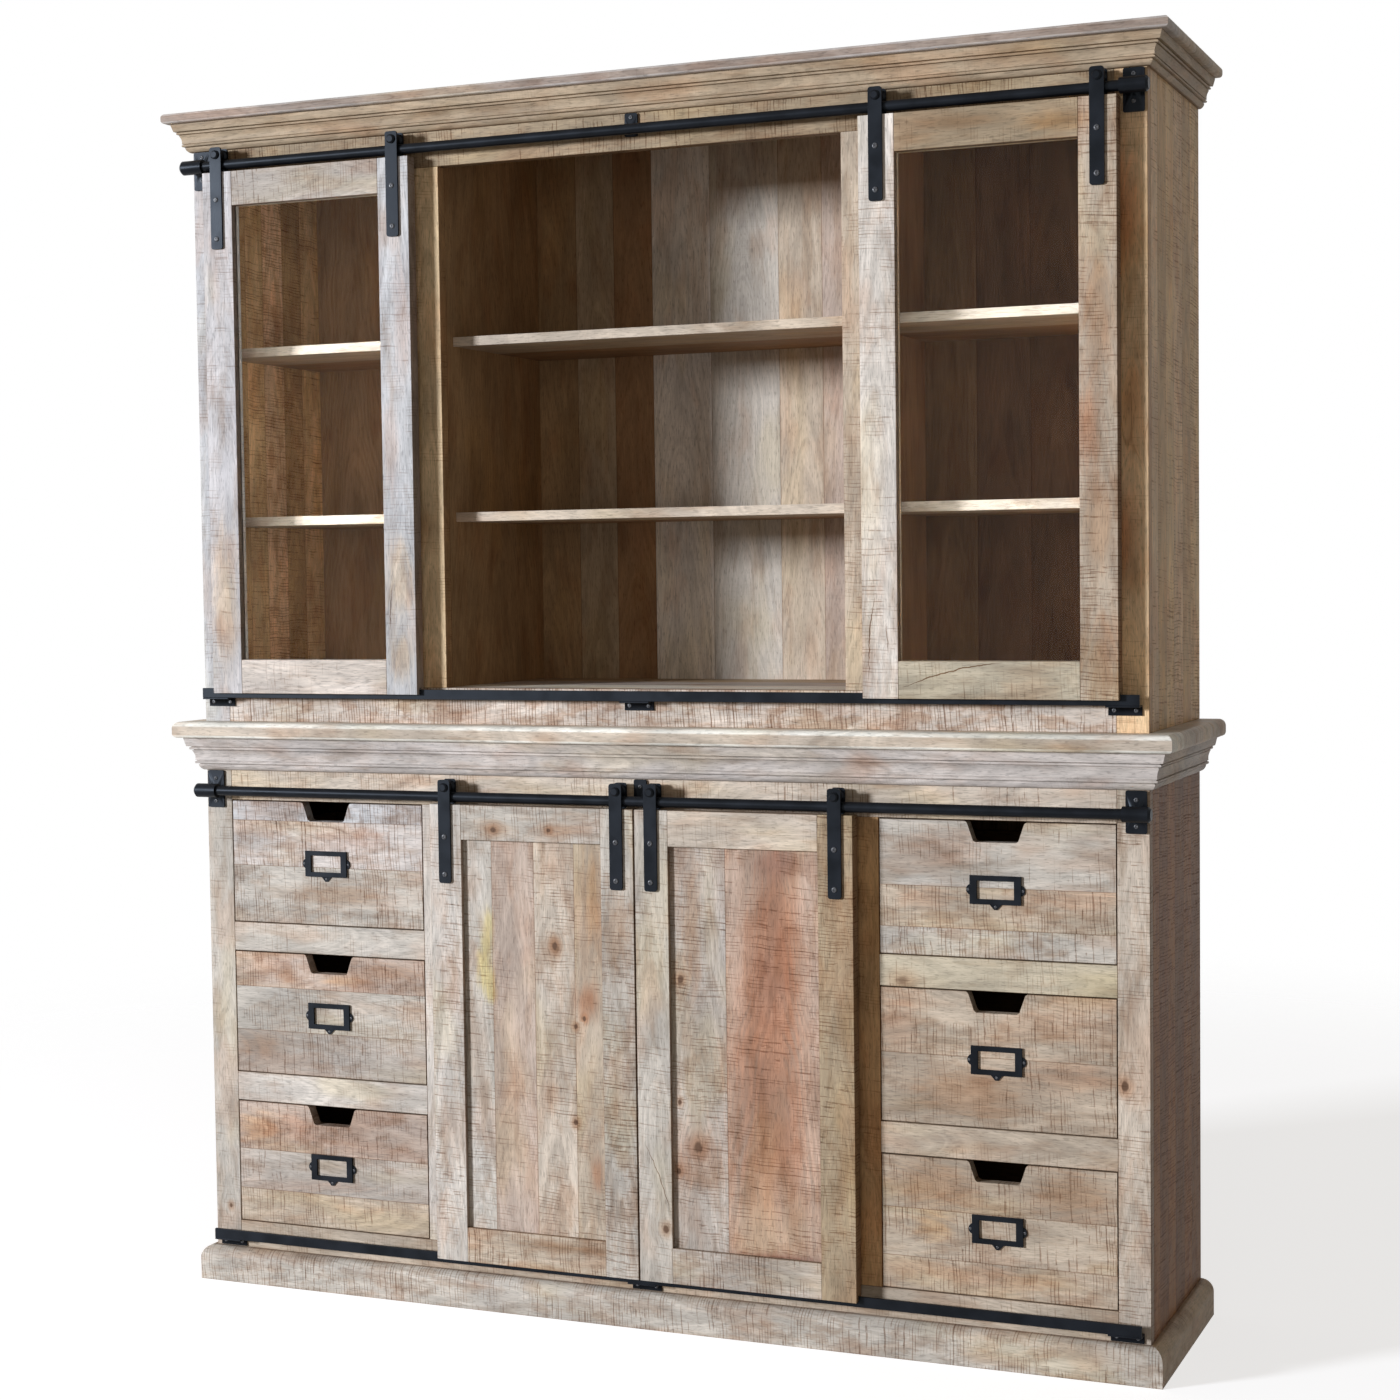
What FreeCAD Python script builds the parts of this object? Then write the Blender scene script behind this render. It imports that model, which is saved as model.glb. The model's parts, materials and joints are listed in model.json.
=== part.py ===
import FreeCAD, Part
import os
import re

import Sketcher
from FreeCAD import Placement, Rotation, Vector

# A farmhouse buffet and hutch with sliding doors on iron rails.
# Millimetres. +Z is up, the front faces -Y and the floor is z = 0. The origin is on the floor,
# midway between the two ends and midway between the front of the worktop and the back.

SIZES = {
    # carcass
    "carcass_width": 1800.0,
    "carcass_depth": 410.0,
    "buffet_height": 1066.0,
    "overall_height": 2200.0,
    "side_thickness": 22.0,
    "frame_thickness": 22.0,
    "partition_thickness": 20.0,
    "back_thickness": 10.0,
    "floor_thickness": 18.0,
    "shelf_thickness": 17.0,
    "shelf_setback": 24.0,
    "buffet_shelf_height": 470.0,
    # tops and mouldings
    "worktop_thickness": 30.0,
    "worktop_overhang": 46.0,
    "worktop_upper_radius": 12.0,
    "worktop_lower_radius": 8.0,
    "crown_thickness": 18.0,
    "crown_overhang": 42.0,
    "crown_upper_radius": 7.0,
    "crown_lower_radius": 6.0,
    "cornice_height": 62.0,
    "cornice_projection": 31.0,
    "crown_cornice_height": 51.0,
    "crown_cornice_projection": 29.0,
    "plinth_height": 64.0,
    "plinth_thickness": 23.0,
    "plinth_round": 22.0,
    # face frames
    "outer_stile_width": 54.0,
    "inner_stile_width": 56.0,
    "centre_opening": 764.0,
    "buffet_bottom_rail": 114.0,
    "buffet_top_rail": 118.0,
    "drawer_rail": 54.0,
    "hutch_bottom_rail": 66.0,
    "hutch_top_rail": 114.0,
    # drawers
    "drawer_reveal": 2.0,
    "drawer_front_thickness": 22.0,
    "drawer_side_thickness": 12.0,
    "drawer_headroom": 56.0,
    "drawer_side_inset": 1.0,
    "drawer_back_gap": 33.0,
    "drawer_bottom_thickness": 6.0,
    "drawer_bottom_lift": 8.0,
    "notch_width": 100.0,
    "notch_floor": 76.0,
    "notch_depth": 35.0,
    "notch_round": 7.0,
    "runner_ledge_width": 14.0,
    "runner_ledge_thickness": 14.0,
    "runner_guide_height": 30.0,
    "running_gap": 0.3,
    # label holders
    "label_width": 88.0,
    "label_height": 48.0,
    "label_window_width": 64.0,
    "label_window_height": 31.0,
    "label_thickness": 4.0,
    "label_tab_thickness": 2.0,
    "label_ear_span": 18.0,
    "label_ear_radius": 9.5,
    "label_foot_span": 21.0,
    "label_foot_tip": 5.0,
    "label_foot_drop": 9.0,
    # doors
    "door_gap": 10.0,
    "door_thickness": 25.0,
    "door_stile_width": 63.0,
    "door_rail_height": 63.0,
    "meeting_gap": 3.0,
    "buffet_door_lap": 21.5,
    "hutch_door_inner_lap": 14.0,
    "hutch_door_outer_lap": 12.0,
    "groove_depth": 9.0,
    "panel_thickness": 8.0,
    "panel_play": 0.2,
    "panel_inset": 1.0,
    "rabbet_width": 8.0,
    "rabbet_lip": 12.0,
    "glass_thickness": 4.0,
    # rails, brackets and guides
    "buffet_hanger_headroom": 6.0,
    "hutch_hanger_headroom": 0.5,
    "rod_radius": 9.0,
    "rod_side_gap": 0.6,
    "rod_over_door": 13.5,
    "socket_radius": 13.0,
    "socket_length": 47.0,
    "socket_chamfer": 4.0,
    "socket_wall": 5.0,
    "socket_overhang": 8.0,
    "socket_play": 0.05,
    "bracket_width": 35.0,
    "bracket_height": 70.0,
    "bracket_thickness": 4.0,
    "bracket_corner": 3.0,
    "bracket_post_radius": 8.0,
    "bracket_headroom": 1.0,
    "saddle_width": 24.0,
    "saddle_post_radius": 6.0,
    "guide_bar_height": 18.0,
    "guide_bar_thickness": 6.0,
    "guide_bar_inset": 11.0,
    "guide_groove_play": 0.6,
    "guide_cover": 9.0,
    "guide_groove_depth": 12.0,
    "buffet_guide_rise": 18.0,
    "hutch_guide_rise": 45.5,
    "clip_width": 56.0,
    "clip_height": 17.0,
    "clip_thickness": 3.0,
    # hangers and rollers
    "strap_width": 24.0,
    "strap_length": 187.0,
    "strap_thickness": 4.0,
    "strap_corner": 5.0,
    "plate_thickness": 3.0,
    "axle_rise": 17.5,
    "axle_radius": 4.0,
    "axle_to_strap_end": 14.0,
    "bolt_head_radius": 8.0,
    "bolt_head_height": 4.5,
    "bolt_head_chamfer": 2.5,
    "nut_radius": 7.0,
    "nut_height": 4.0,
    "hole_play": 0.05,
    "roller_radius": 12.0,
    "roller_side_gap": 0.8,
    "roller_play": 0.3,
    # one overrun for every cut
    "overrun": 2.0,
}

# Places and lengths worked out from the sizes.
PLACES = {
    "half_width": "carcass_width / 2",
    "inner_half_width": "half_width - side_thickness",
    "half_centre": "centre_opening / 2",
    "partition_far": "half_centre + partition_thickness",
    "bank_near": "half_centre + inner_stile_width",
    "bank_far": "half_width - outer_stile_width",
    "bank_middle": "(bank_near + bank_far) / 2",
    "face_y": "(worktop_overhang - carcass_depth) / 2",
    "frame_back_y": "face_y + frame_thickness",
    "back_y": "face_y + carcass_depth",
    "back_panel_y": "back_y - back_thickness",
    "shelf_front_y": "frame_back_y + shelf_setback",
    "worktop_under": "buffet_height - worktop_thickness",
    "crown_under": "overall_height - crown_thickness",
    "buffet_opening_top": "worktop_under - buffet_top_rail",
    "buffet_floor_top": "buffet_bottom_rail - runner_ledge_thickness",
    "drawer_opening": "(buffet_opening_top - buffet_bottom_rail - 2 * drawer_rail) / 3",
    "drawer_pitch": "drawer_opening + drawer_rail",
    "drawer_front_width": "bank_far - bank_near - 2 * drawer_reveal",
    "drawer_front_height": "drawer_opening - 2 * drawer_reveal",
    "drawer_box_half": "drawer_front_width / 2 - drawer_side_inset",
    "drawer_box_y": "face_y + drawer_front_thickness",
    "drawer_length": "back_panel_y - drawer_box_y - drawer_back_gap",
    "drawer_side_height": "drawer_opening - drawer_headroom",
    "hutch_opening_bottom": "buffet_height + hutch_bottom_rail",
    "hutch_opening_top": "crown_under - hutch_top_rail",
    "hutch_bay_height": "(hutch_opening_top - hutch_opening_bottom - 2 * shelf_thickness) / 3",
    "hutch_shelf_pitch": "hutch_bay_height + shelf_thickness",
    "cornice_bottom": "worktop_under - cornice_height",
    "crown_cornice_bottom": "crown_under - crown_cornice_height",
    "door_back_y": "face_y - door_gap",
    "door_front_y": "door_back_y - door_thickness",
    "strap_front_y": "door_front_y - strap_thickness",
    "rod_y": "door_front_y + rod_side_gap + rod_radius",
    "rod_standoff": "face_y - rod_y",
    "plate_front_y": "rod_y + rod_radius + rod_side_gap",
    "plate_back_y": "plate_front_y + plate_thickness",
    "strap_rise": "axle_rise + axle_to_strap_end",
    "buffet_rod_height": "cornice_bottom - buffet_hanger_headroom - strap_rise",
    "hutch_rod_height": "crown_cornice_bottom - hutch_hanger_headroom - strap_rise",
    "plate_height": "strap_rise + rod_over_door",
    "axle_length": "plate_back_y - strap_front_y",
    "roller_width": "plate_front_y - door_front_y - 2 * roller_side_gap",
    "groove_floor_radius": "axle_rise - rod_radius - roller_play",
    "groove_floor_half": "(rod_radius + roller_play) * (sqrt(2) - 1)",
    "groove_rim_half": "(rod_radius + roller_play) * sqrt(2) - (axle_rise - roller_radius)",
    "guide_y": "(door_front_y + door_back_y) / 2",
    "guide_groove": "guide_bar_thickness + 2 * guide_groove_play",
    "guide_bar_length": "carcass_width - 2 * guide_bar_inset",
    "buffet_guide_height": "plinth_height + buffet_guide_rise",
    "hutch_guide_height": "buffet_height + hutch_guide_rise",
    "panel_groove": "panel_thickness + 2 * panel_play",
    "panel_y": "guide_y - panel_groove / 2",
    "lip_back_y": "door_front_y + rabbet_lip",
    "bead_front_y": "lip_back_y + glass_thickness",
}

# The cornice profile in shares of its projection (outwards) and of its height (upwards).
# From the bottom: an ovolo, a bead, a cove, a second bead and a leaning fascia under the top,
# with a sunk quirk under and over each bead.
OVOLO_FOOT_SHARE = 0.12
OVOLO_TOP_SHARES = (0.36, 0.17)
LOWER_BEAD_SHARES = (0.48, 0.20, 0.27)
COVE_FOOT_SHARES = (0.50, 0.30)
COVE_TOP_SHARES = (0.64, 0.60)
UPPER_BEAD_SHARES = (0.72, 0.63, 0.70)
FASCIA_FOOT_SHARES = (0.88, 0.73)
FASCIA_TOP_SHARE = 0.96
QUIRK_FLOOR_SHARES = (0.30, 0.42, 0.56, 0.66)
OVOLO_CURVE_SHARE = 0.22
BEAD_CURVE_SHARE = 0.04
COVE_CURVE_SHARE = 0.40

SIDES = ("left", "right")
DRAWER_ROWS = ("bottom", "middle", "top")

# How close counts as the same place when edges are picked, and how straight an edge has to run.
SAME_PLACE = 0.01
STRAIGHT_SHARE = 0.99

doc = FreeCAD.newDocument("buffet_and_hutch")
sheet = doc.addObject("Spreadsheet::Sheet", "Sizes")
for row, (name, size) in enumerate(SIZES.items(), start=1):
    sheet.set("A%d" % row, name)
    sheet.set("B%d" % row, str(size))
    sheet.setAlias("B%d" % row, name)
doc.recompute()

nodes = {}


def formula(text):
    """Turn named sizes and places into an expression on the sheet's cells."""
    def swap(match):
        word = match.group()
        if word in PLACES:
            return "(" + formula(PLACES[word]) + ")"
        return "Sizes." + word if word in SIZES else word
    return re.sub(r"[A-Za-z_]\w*", swap, text)


def amount(text):
    """The number that a formula comes to now, for a sketch's starting shape."""
    return float(sheet.evalExpression(formula(text)))


def place(piece, x, y, z, turn=0):
    """Bind a piece's position; turn is its angle about Z in degrees."""
    piece.Placement = Placement(Vector(), Rotation(Vector(0, 0, 1), turn))
    for axis, text in zip("xyz", (x, y, z)):
        piece.setExpression("Placement.Base." + axis, formula(text))


def keep(label, pieces):
    """Group the separate solids of one sub-part under its own name."""
    node = doc.addObject("Part::Compound", label)
    node.Links = pieces
    nodes[label] = node


def board(label, x, y, z):
    """A squared board; each of x, y and z gives where it starts and where it ends."""
    box = doc.addObject("Part::Box", label)
    for run, (start, end) in zip(("Length", "Width", "Height"), (x, y, z)):
        box.setExpression(run, formula("(%s) - (%s)" % (end, start)))
    place(box, x[0], y[0], z[0])
    return box


def cut(label, base, tool):
    result = doc.addObject("Part::Cut", label)
    result.Base = base
    result.Tool = tool
    return result


def fuse(label, base, tool):
    result = doc.addObject("Part::Fuse", label)
    result.Base = base
    result.Tool = tool
    return result


def across(side, near, far):
    """A run along X given outwards from the middle of the cabinet."""
    if side == "right":
        return (near, far)
    return ("-(%s)" % far, "-(%s)" % near)


def outwards(side, text):
    return text if side == "right" else "-(%s)" % text


def new_body(label):
    return doc.addObject("PartDesign::Body", label)


def datum(body, role):
    return next(feature for feature in body.Origin.OriginFeatures if feature.Role == role)


def sketch_on(body, role, label):
    sketch = body.newObject("Sketcher::SketchObject", label)
    sketch.AttachmentSupport = (datum(body, role), "")
    sketch.MapMode = "FlatFace"
    return sketch


def pin_point(sketch, geometry, point, x, y):
    """Hold one point of a sketch at a named place."""
    for kind, axis, text in (("DistanceX", -2, x), ("DistanceY", -1, y)):
        if text == "0":
            sketch.addConstraint(Sketcher.Constraint("PointOnObject", geometry, point, axis))
            continue
        rule = Sketcher.Constraint(kind, -1, 1, geometry, point, amount(text))
        index = sketch.addConstraint(rule)
        sketch.setExpression("Constraints[%d]" % index, formula(text))


def arc_between(start, end, radius, clockwise):
    """The short arc from start to end, turning the given way."""
    chord = end - start
    side = -1 if clockwise else 1
    rise = max(radius * radius - chord.Length * chord.Length / 4, 0) ** 0.5
    normal = Vector(-chord.y, chord.x, 0).normalize()
    centre = start + chord * 0.5 + normal * rise * side
    circle = Part.Circle(centre, Vector(0, 0, 1), radius)
    first, last = (end, start) if clockwise else (start, end)
    return Part.ArcOfCircle(circle, circle.parameter(first), circle.parameter(last))


def outline(sketch, corners):
    """Draw a closed loop. A corner is (x, y), and (x, y, radius, turn) starts an arc."""
    points = [Vector(amount(corner[0]), amount(corner[1]), 0) for corner in corners]
    ends = []
    for index, corner in enumerate(corners):
        start = points[index]
        end = points[(index + 1) % len(points)]
        if len(corner) == 2:
            geometry = sketch.addGeometry(Part.LineSegment(start, end), False)
            ends.append((geometry, 1, 2))
            continue
        clockwise = corner[3] == "clockwise"
        arc = arc_between(start, end, amount(corner[2]), clockwise)
        geometry = sketch.addGeometry(arc, False)
        ends.append((geometry, 2, 1) if clockwise else (geometry, 1, 2))
    for index, (geometry, first, last) in enumerate(ends):
        after, after_first, _ = ends[(index + 1) % len(ends)]
        sketch.addConstraint(Sketcher.Constraint("Coincident", geometry, last, after, after_first))
    for corner, (geometry, first, last) in zip(corners, ends):
        pin_point(sketch, geometry, first, corner[0], corner[1])
        if len(corner) == 4:
            rule = Sketcher.Constraint("Radius", geometry, amount(corner[2]))
            index = sketch.addConstraint(rule)
            sketch.setExpression("Constraints[%d]" % index, formula(corner[2]))


def ring(sketch, x, y, radius):
    """Draw a circle, such as a hole."""
    centre = Vector(amount(x), amount(y), 0)
    geometry = sketch.addGeometry(Part.Circle(centre, Vector(0, 0, 1), amount(radius)), False)
    pin_point(sketch, geometry, 3, x, y)
    index = sketch.addConstraint(Sketcher.Constraint("Radius", geometry, amount(radius)))
    sketch.setExpression("Constraints[%d]" % index, formula(radius))


def rectangle(x0, y0, x1, y1):
    return [(x0, y0), (x1, y0), (x1, y1), (x0, y1)]


def pad(body, sketch, length):
    feature = body.newObject("PartDesign::Pad", sketch.Name + "_pad")
    feature.Profile = sketch
    feature.setExpression("Length", formula(length))
    return feature


def pocket_through(body, sketch):
    """Cut a sketch right through, along its plane's normal."""
    feature = body.newObject("PartDesign::Pocket", sketch.Name + "_pocket")
    feature.Profile = sketch
    feature.Type = "ThroughAll"
    feature.Reversed = True
    return feature


def revolve(body, sketch, axis):
    feature = body.newObject("PartDesign::Revolution", sketch.Name + "_turned")
    feature.Profile = sketch
    feature.ReferenceAxis = (datum(body, axis), [""])
    feature.Angle = 360
    return feature


def round_edges(body, base, chosen, radius):
    """Fillet the edges of a feature that the chosen test picks."""
    doc.recompute()
    edges = base.Shape.Edges
    names = ["Edge%d" % (index + 1) for index, edge in enumerate(edges) if chosen(edge)]
    feature = body.newObject("PartDesign::Fillet", base.Name + "_round")
    feature.Base = (base, names)
    feature.setExpression("Radius", formula(radius))
    return feature


def runs_along_y(edge):
    start, end = edge.Vertexes[0].Point, edge.Vertexes[-1].Point
    return abs(end.y - start.y) > STRAIGHT_SHARE * edge.Length


# Tops and mouldings


def slab(label, overhang, under, thickness, upper_radius, lower_radius):
    """A top with a sharp back edge and with its front and end edges rounded over."""
    body = new_body(label)
    plan = sketch_on(body, "XY_Plane", label + "_plan")
    width = "carcass_width + 2 * %s" % overhang
    depth = "carcass_depth + %s" % overhang
    outline(plan, rectangle("0", "0", width, depth))
    last = pad(body, plan, thickness)

    def on_level(level):
        def chosen(edge):
            middle = edge.CenterOfMass
            at_front = middle.y < amount(depth) - SAME_PLACE
            return abs(middle.z - amount(level)) < SAME_PLACE and at_front
        return chosen

    last = round_edges(body, last, on_level(thickness), upper_radius)
    round_edges(body, last, on_level("0"), lower_radius)
    place(body, "-half_width - %s" % overhang, "face_y - %s" % overhang, under)
    nodes[label] = body


def moulding(label, profile, reach, run, mitres, spot, turn):
    """A moulding along local X with its profile outwards on local Y, mitred at the named ends."""
    body = new_body(label)
    section = sketch_on(body, "YZ_Plane", label + "_section")
    outline(section, profile)
    total = "(%s) + %d * %s" % (run, len(mitres), reach)
    pad(body, section, total)
    for end in mitres:
        mitre = sketch_on(body, "XY_Plane", "%s_%s_mitre" % (label, end))
        if end == "start":
            outline(mitre, [("-overrun", "-overrun"), ("%s + overrun" % reach, "-overrun"),
                            ("-overrun", "%s + overrun" % reach)])
        else:
            outline(mitre, [("%s + overrun" % total, "-overrun"),
                            ("%s + overrun" % total, "%s + overrun" % reach),
                            ("%s - %s - overrun" % (total, reach), "-overrun")])
        pocket_through(body, mitre)
    place(body, *spot, turn)
    return body


def mitred_trim(label, profile, reach, bottom):
    """A front moulding and two returns that meet it in mitres at the cabinet's front corners."""
    front = moulding(label + "_front", profile, reach, "carcass_width", ("start", "end"),
                     ("half_width + %s" % reach, "face_y", bottom), 180)
    right = moulding(label + "_right", profile, reach, "carcass_depth", ("end",),
                     ("half_width", "back_y", bottom), -90)
    left = moulding(label + "_left", profile, reach, "carcass_depth", ("start",),
                    ("-half_width", "face_y - %s" % reach, bottom), 90)
    keep(label, [front, right, left])


def cornice_profile(out, up):
    """Ovolo, bead, cove, bead and fascia, parted by quirks, in shares of projection and height."""
    def at(out_share, up_share):
        return ("%s * %g" % (out, out_share), "%s * %g" % (up, up_share))

    def quirk(floor, foot, head):
        return [at(floor, foot), at(floor, head)]

    bead = ("%s * %g" % (up, BEAD_CURVE_SHARE), "counterclockwise")
    ovolo = ("%s * %g" % (up, OVOLO_CURVE_SHARE), "counterclockwise")
    cove = ("%s * %g" % (up, COVE_CURVE_SHARE), "clockwise")
    lower_out, lower_foot, lower_head = LOWER_BEAD_SHARES
    upper_out, upper_foot, upper_head = UPPER_BEAD_SHARES
    under_lower, over_lower, under_upper, over_upper = QUIRK_FLOOR_SHARES
    corners = [("0", "0"), at(OVOLO_FOOT_SHARE, 0) + ovolo, at(*OVOLO_TOP_SHARES)]
    corners += quirk(under_lower, OVOLO_TOP_SHARES[1], lower_foot)
    corners += [at(lower_out, lower_foot) + bead, at(lower_out, lower_head)]
    corners += quirk(over_lower, lower_head, COVE_FOOT_SHARES[1])
    corners += [at(*COVE_FOOT_SHARES) + cove, at(*COVE_TOP_SHARES)]
    corners += quirk(under_upper, COVE_TOP_SHARES[1], upper_foot)
    corners += [at(upper_out, upper_foot) + bead, at(upper_out, upper_head)]
    corners += quirk(over_upper, upper_head, FASCIA_FOOT_SHARES[1])
    return corners + [at(*FASCIA_FOOT_SHARES), at(1, FASCIA_TOP_SHARE), at(1, 1), ("0", up)]


def plinth_profile():
    """A skirting board with a quarter-round on its outer top edge."""
    return [("0", "0"),
            ("plinth_thickness", "0"),
            ("plinth_thickness", "plinth_height - plinth_round", "plinth_round", "counterclockwise"),
            ("plinth_thickness - plinth_round", "plinth_height"),
            ("0", "plinth_height")]


# Carcass


def carcass():
    depth = ("frame_back_y", "back_y")
    inside = ("frame_back_y", "back_panel_y")
    panel = ("back_panel_y", "back_y")
    between = ("-inner_half_width", "inner_half_width")
    levels = {"buffet": ("0", "buffet_floor_top", "worktop_under"),
              "hutch": ("buffet_height", "hutch_opening_bottom", "crown_under")}
    for unit, (foot, floor, head) in levels.items():
        ends = [board("%s_%s_side" % (unit, side), across(side, "inner_half_width", "half_width"),
                      depth, (foot, head)) for side in SIDES]
        keep(unit + "_sides", ends)
        uprights = [board("%s_%s_partition" % (unit, side),
                          across(side, "half_centre", "partition_far"), inside, (floor, head))
                    for side in SIDES]
        keep(unit + "_partitions", uprights)
        keep(unit + "_floor",
             [board(unit + "_floor_board", between, inside, (floor + " - floor_thickness", floor))])
        keep(unit + "_back", [board(unit + "_back_panel", between, panel, (foot, head))])


def face_frames():
    thick = ("face_y", "frame_back_y")
    rails_x = ("-bank_far", "bank_far")
    buffet = [board("buffet_bottom_rail_board", rails_x, thick, ("0", "buffet_bottom_rail")),
              board("buffet_top_rail_board", rails_x, thick, ("buffet_opening_top", "worktop_under"))]
    hutch = [board("hutch_bottom_rail_board", rails_x, thick, ("buffet_height", "hutch_opening_bottom")),
             board("hutch_top_rail_board", rails_x, thick, ("hutch_opening_top", "crown_under"))]
    for side in SIDES:
        outer = across(side, "bank_far", "half_width")
        inner = across(side, "half_centre", "bank_near")
        bank = across(side, "bank_near", "bank_far")
        buffet.append(board("buffet_%s_outer_stile" % side, outer, thick, ("0", "worktop_under")))
        buffet.append(board("buffet_%s_inner_stile" % side, inner, thick,
                            ("buffet_bottom_rail", "buffet_opening_top")))
        for row in (1, 2):
            foot = "buffet_bottom_rail + %d * drawer_pitch - drawer_rail" % row
            buffet.append(board("buffet_%s_drawer_rail_%d" % (side, row), bank, thick,
                                (foot, foot + " + drawer_rail")))
        hutch.append(board("hutch_%s_outer_stile" % side, outer, thick, ("buffet_height", "crown_under")))
        hutch.append(board("hutch_%s_inner_stile" % side, inner, thick,
                           ("hutch_opening_bottom", "hutch_opening_top")))
    keep("buffet_face_frame", buffet)
    keep("hutch_face_frame", hutch)


def shelves():
    depth = ("shelf_front_y", "back_panel_y")
    bays = {"left": across("left", "partition_far", "inner_half_width"),
            "centre": ("-half_centre", "half_centre"),
            "right": across("right", "partition_far", "inner_half_width")}
    middle = "buffet_floor_top + buffet_shelf_height"
    keep("buffet_shelf", [board("buffet_shelf_board", bays["centre"], depth,
                                (middle + " - shelf_thickness", middle))])
    boards = []
    for bay, run in bays.items():
        for level in (1, 2):
            top = "hutch_opening_bottom + %d * hutch_shelf_pitch" % level
            boards.append(board("hutch_%s_shelf_%d" % (bay, level), run, depth,
                                (top + " - shelf_thickness", top)))
    keep("hutch_shelves", boards)


# Drawers


def drawer_runner(label, side, wall, edge, row):
    """An L-section runner: a guide packed out from its wall and a ledge under the drawer side."""
    body = new_body(label)
    section = sketch_on(body, "XZ_Plane", label + "_section")
    sign = "1" if edge == "bank_near" else "-1"
    ledge = "%s + %s * runner_ledge_width" % (edge, sign)
    top = "runner_ledge_thickness"
    profile = [(wall, "0"), (ledge, "0"), (ledge, top), (edge, top),
               (edge, top + " + runner_guide_height"), (wall, top + " + runner_guide_height")]
    outline(section, [(outwards(side, x), z) for x, z in profile])
    pad(body, section, "back_panel_y - frame_back_y")
    place(body, "0", "back_panel_y",
          "buffet_bottom_rail + %d * drawer_pitch - runner_ledge_thickness" % row)
    return body


def drawer_front(label, side, foot):
    """A front with a finger notch cut into the middle of its top edge."""
    body = new_body(label)
    face = sketch_on(body, "XZ_Plane", label + "_face")
    outline(face, rectangle("-drawer_front_width / 2", "0", "drawer_front_width / 2", "drawer_front_height"))
    pad(body, face, "drawer_front_thickness")
    notch = sketch_on(body, "XZ_Plane", label + "_notch")
    floor = "drawer_front_height - notch_depth"
    above = "drawer_front_height + overrun"
    flare = "notch_width / 2 + (notch_width - notch_floor) / 2 / notch_depth * overrun"
    outline(notch, [("-notch_floor / 2", floor), ("notch_floor / 2", floor), (flare, above),
                    ("-(%s)" % flare, above)])
    opened = pocket_through(body, notch)

    def notch_corner(edge):
        middle = edge.CenterOfMass
        return runs_along_y(edge) and abs(middle.x) < amount("notch_width / 2") + SAME_PLACE

    round_edges(body, opened, notch_corner, "notch_round")
    place(body, outwards(side, "bank_middle"), "drawer_box_y", foot)
    nodes[label] = body


def drawer_box(label, side, opening):
    """Two sides, a back between them and a bottom raised off the sides' lower edges."""
    foot = opening + " + running_gap"
    middle = outwards(side, "bank_middle")
    rear = "drawer_box_y + drawer_length"
    inner = "drawer_box_half - drawer_side_thickness"
    height = (foot, foot + " + drawer_side_height")
    under = foot + " + drawer_bottom_lift"
    between = ("%s - (%s)" % (middle, inner), "%s + (%s)" % (middle, inner))
    walls = [board(label + "_west_side", ("%s - drawer_box_half" % middle, between[0]),
                   ("drawer_box_y", rear), height),
             board(label + "_east_side", (between[1], "%s + drawer_box_half" % middle),
                   ("drawer_box_y", rear), height),
             board(label + "_back", between, (rear + " - drawer_side_thickness", rear),
                   (under + " + drawer_bottom_thickness", height[1])),
             board(label + "_bottom", between, ("drawer_box_y", rear),
                   (under, under + " + drawer_bottom_thickness"))]
    keep(label, walls)


def label_holder(label, side, foot):
    """A raised card frame with flat round ears at its ends and a pointed foot below."""
    body = new_body(label)
    plate = sketch_on(body, "XZ_Plane", label + "_plate")
    half = "label_width / 2"
    rise = "label_height / 2"
    outline(plate, [("-(%s)" % half, "-(%s)" % rise),
                    ("-label_foot_span / 2", "-(%s)" % rise),
                    ("-label_foot_tip / 2", "-(%s) - label_foot_drop" % rise),
                    ("label_foot_tip / 2", "-(%s) - label_foot_drop" % rise),
                    ("label_foot_span / 2", "-(%s)" % rise),
                    (half, "-(%s)" % rise),
                    (half, "-label_ear_span / 2", "label_ear_radius", "counterclockwise"),
                    (half, "label_ear_span / 2"),
                    (half, rise),
                    ("-(%s)" % half, rise),
                    ("-(%s)" % half, "label_ear_span / 2", "label_ear_radius", "counterclockwise"),
                    ("-(%s)" % half, "-label_ear_span / 2")])
    window = rectangle("-label_window_width / 2", "-label_window_height / 2",
                       "label_window_width / 2", "label_window_height / 2")
    outline(plate, window)
    pad(body, plate, "label_tab_thickness")
    rim = sketch_on(body, "XZ_Plane", label + "_rim")
    outline(rim, rectangle("-(%s)" % half, "-(%s)" % rise, half, rise))
    outline(rim, window)
    pad(body, rim, "label_thickness")
    place(body, outwards(side, "bank_middle"), "face_y", foot + " + drawer_front_height / 2")
    nodes[label] = body


def drawers():
    runners = []
    for side in SIDES:
        for row, level in enumerate(DRAWER_ROWS):
            drawer = "%s_%s_drawer" % (side, level)
            opening = "buffet_bottom_rail + %d * drawer_pitch" % row
            foot = opening + " + drawer_reveal"
            drawer_front(drawer + "_front", side, foot)
            drawer_box(drawer + "_box", side, opening)
            label_holder(drawer + "_label_holder", side, foot)
            runners.append(drawer_runner(drawer + "_inner_runner", side, "partition_far", "bank_near", row))
            runners.append(drawer_runner(drawer + "_outer_runner", side, "inner_half_width", "bank_far", row))
    keep("drawer_runners", runners)


# Doors


def guide_groove(label, x, foot):
    """The slot along a door's lower edge that straddles the guide bar."""
    return board(label, x, ("guide_y - guide_groove / 2", "guide_y + guide_groove / 2"),
                 (foot + " - overrun", foot + " + guide_groove_depth"))


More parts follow.
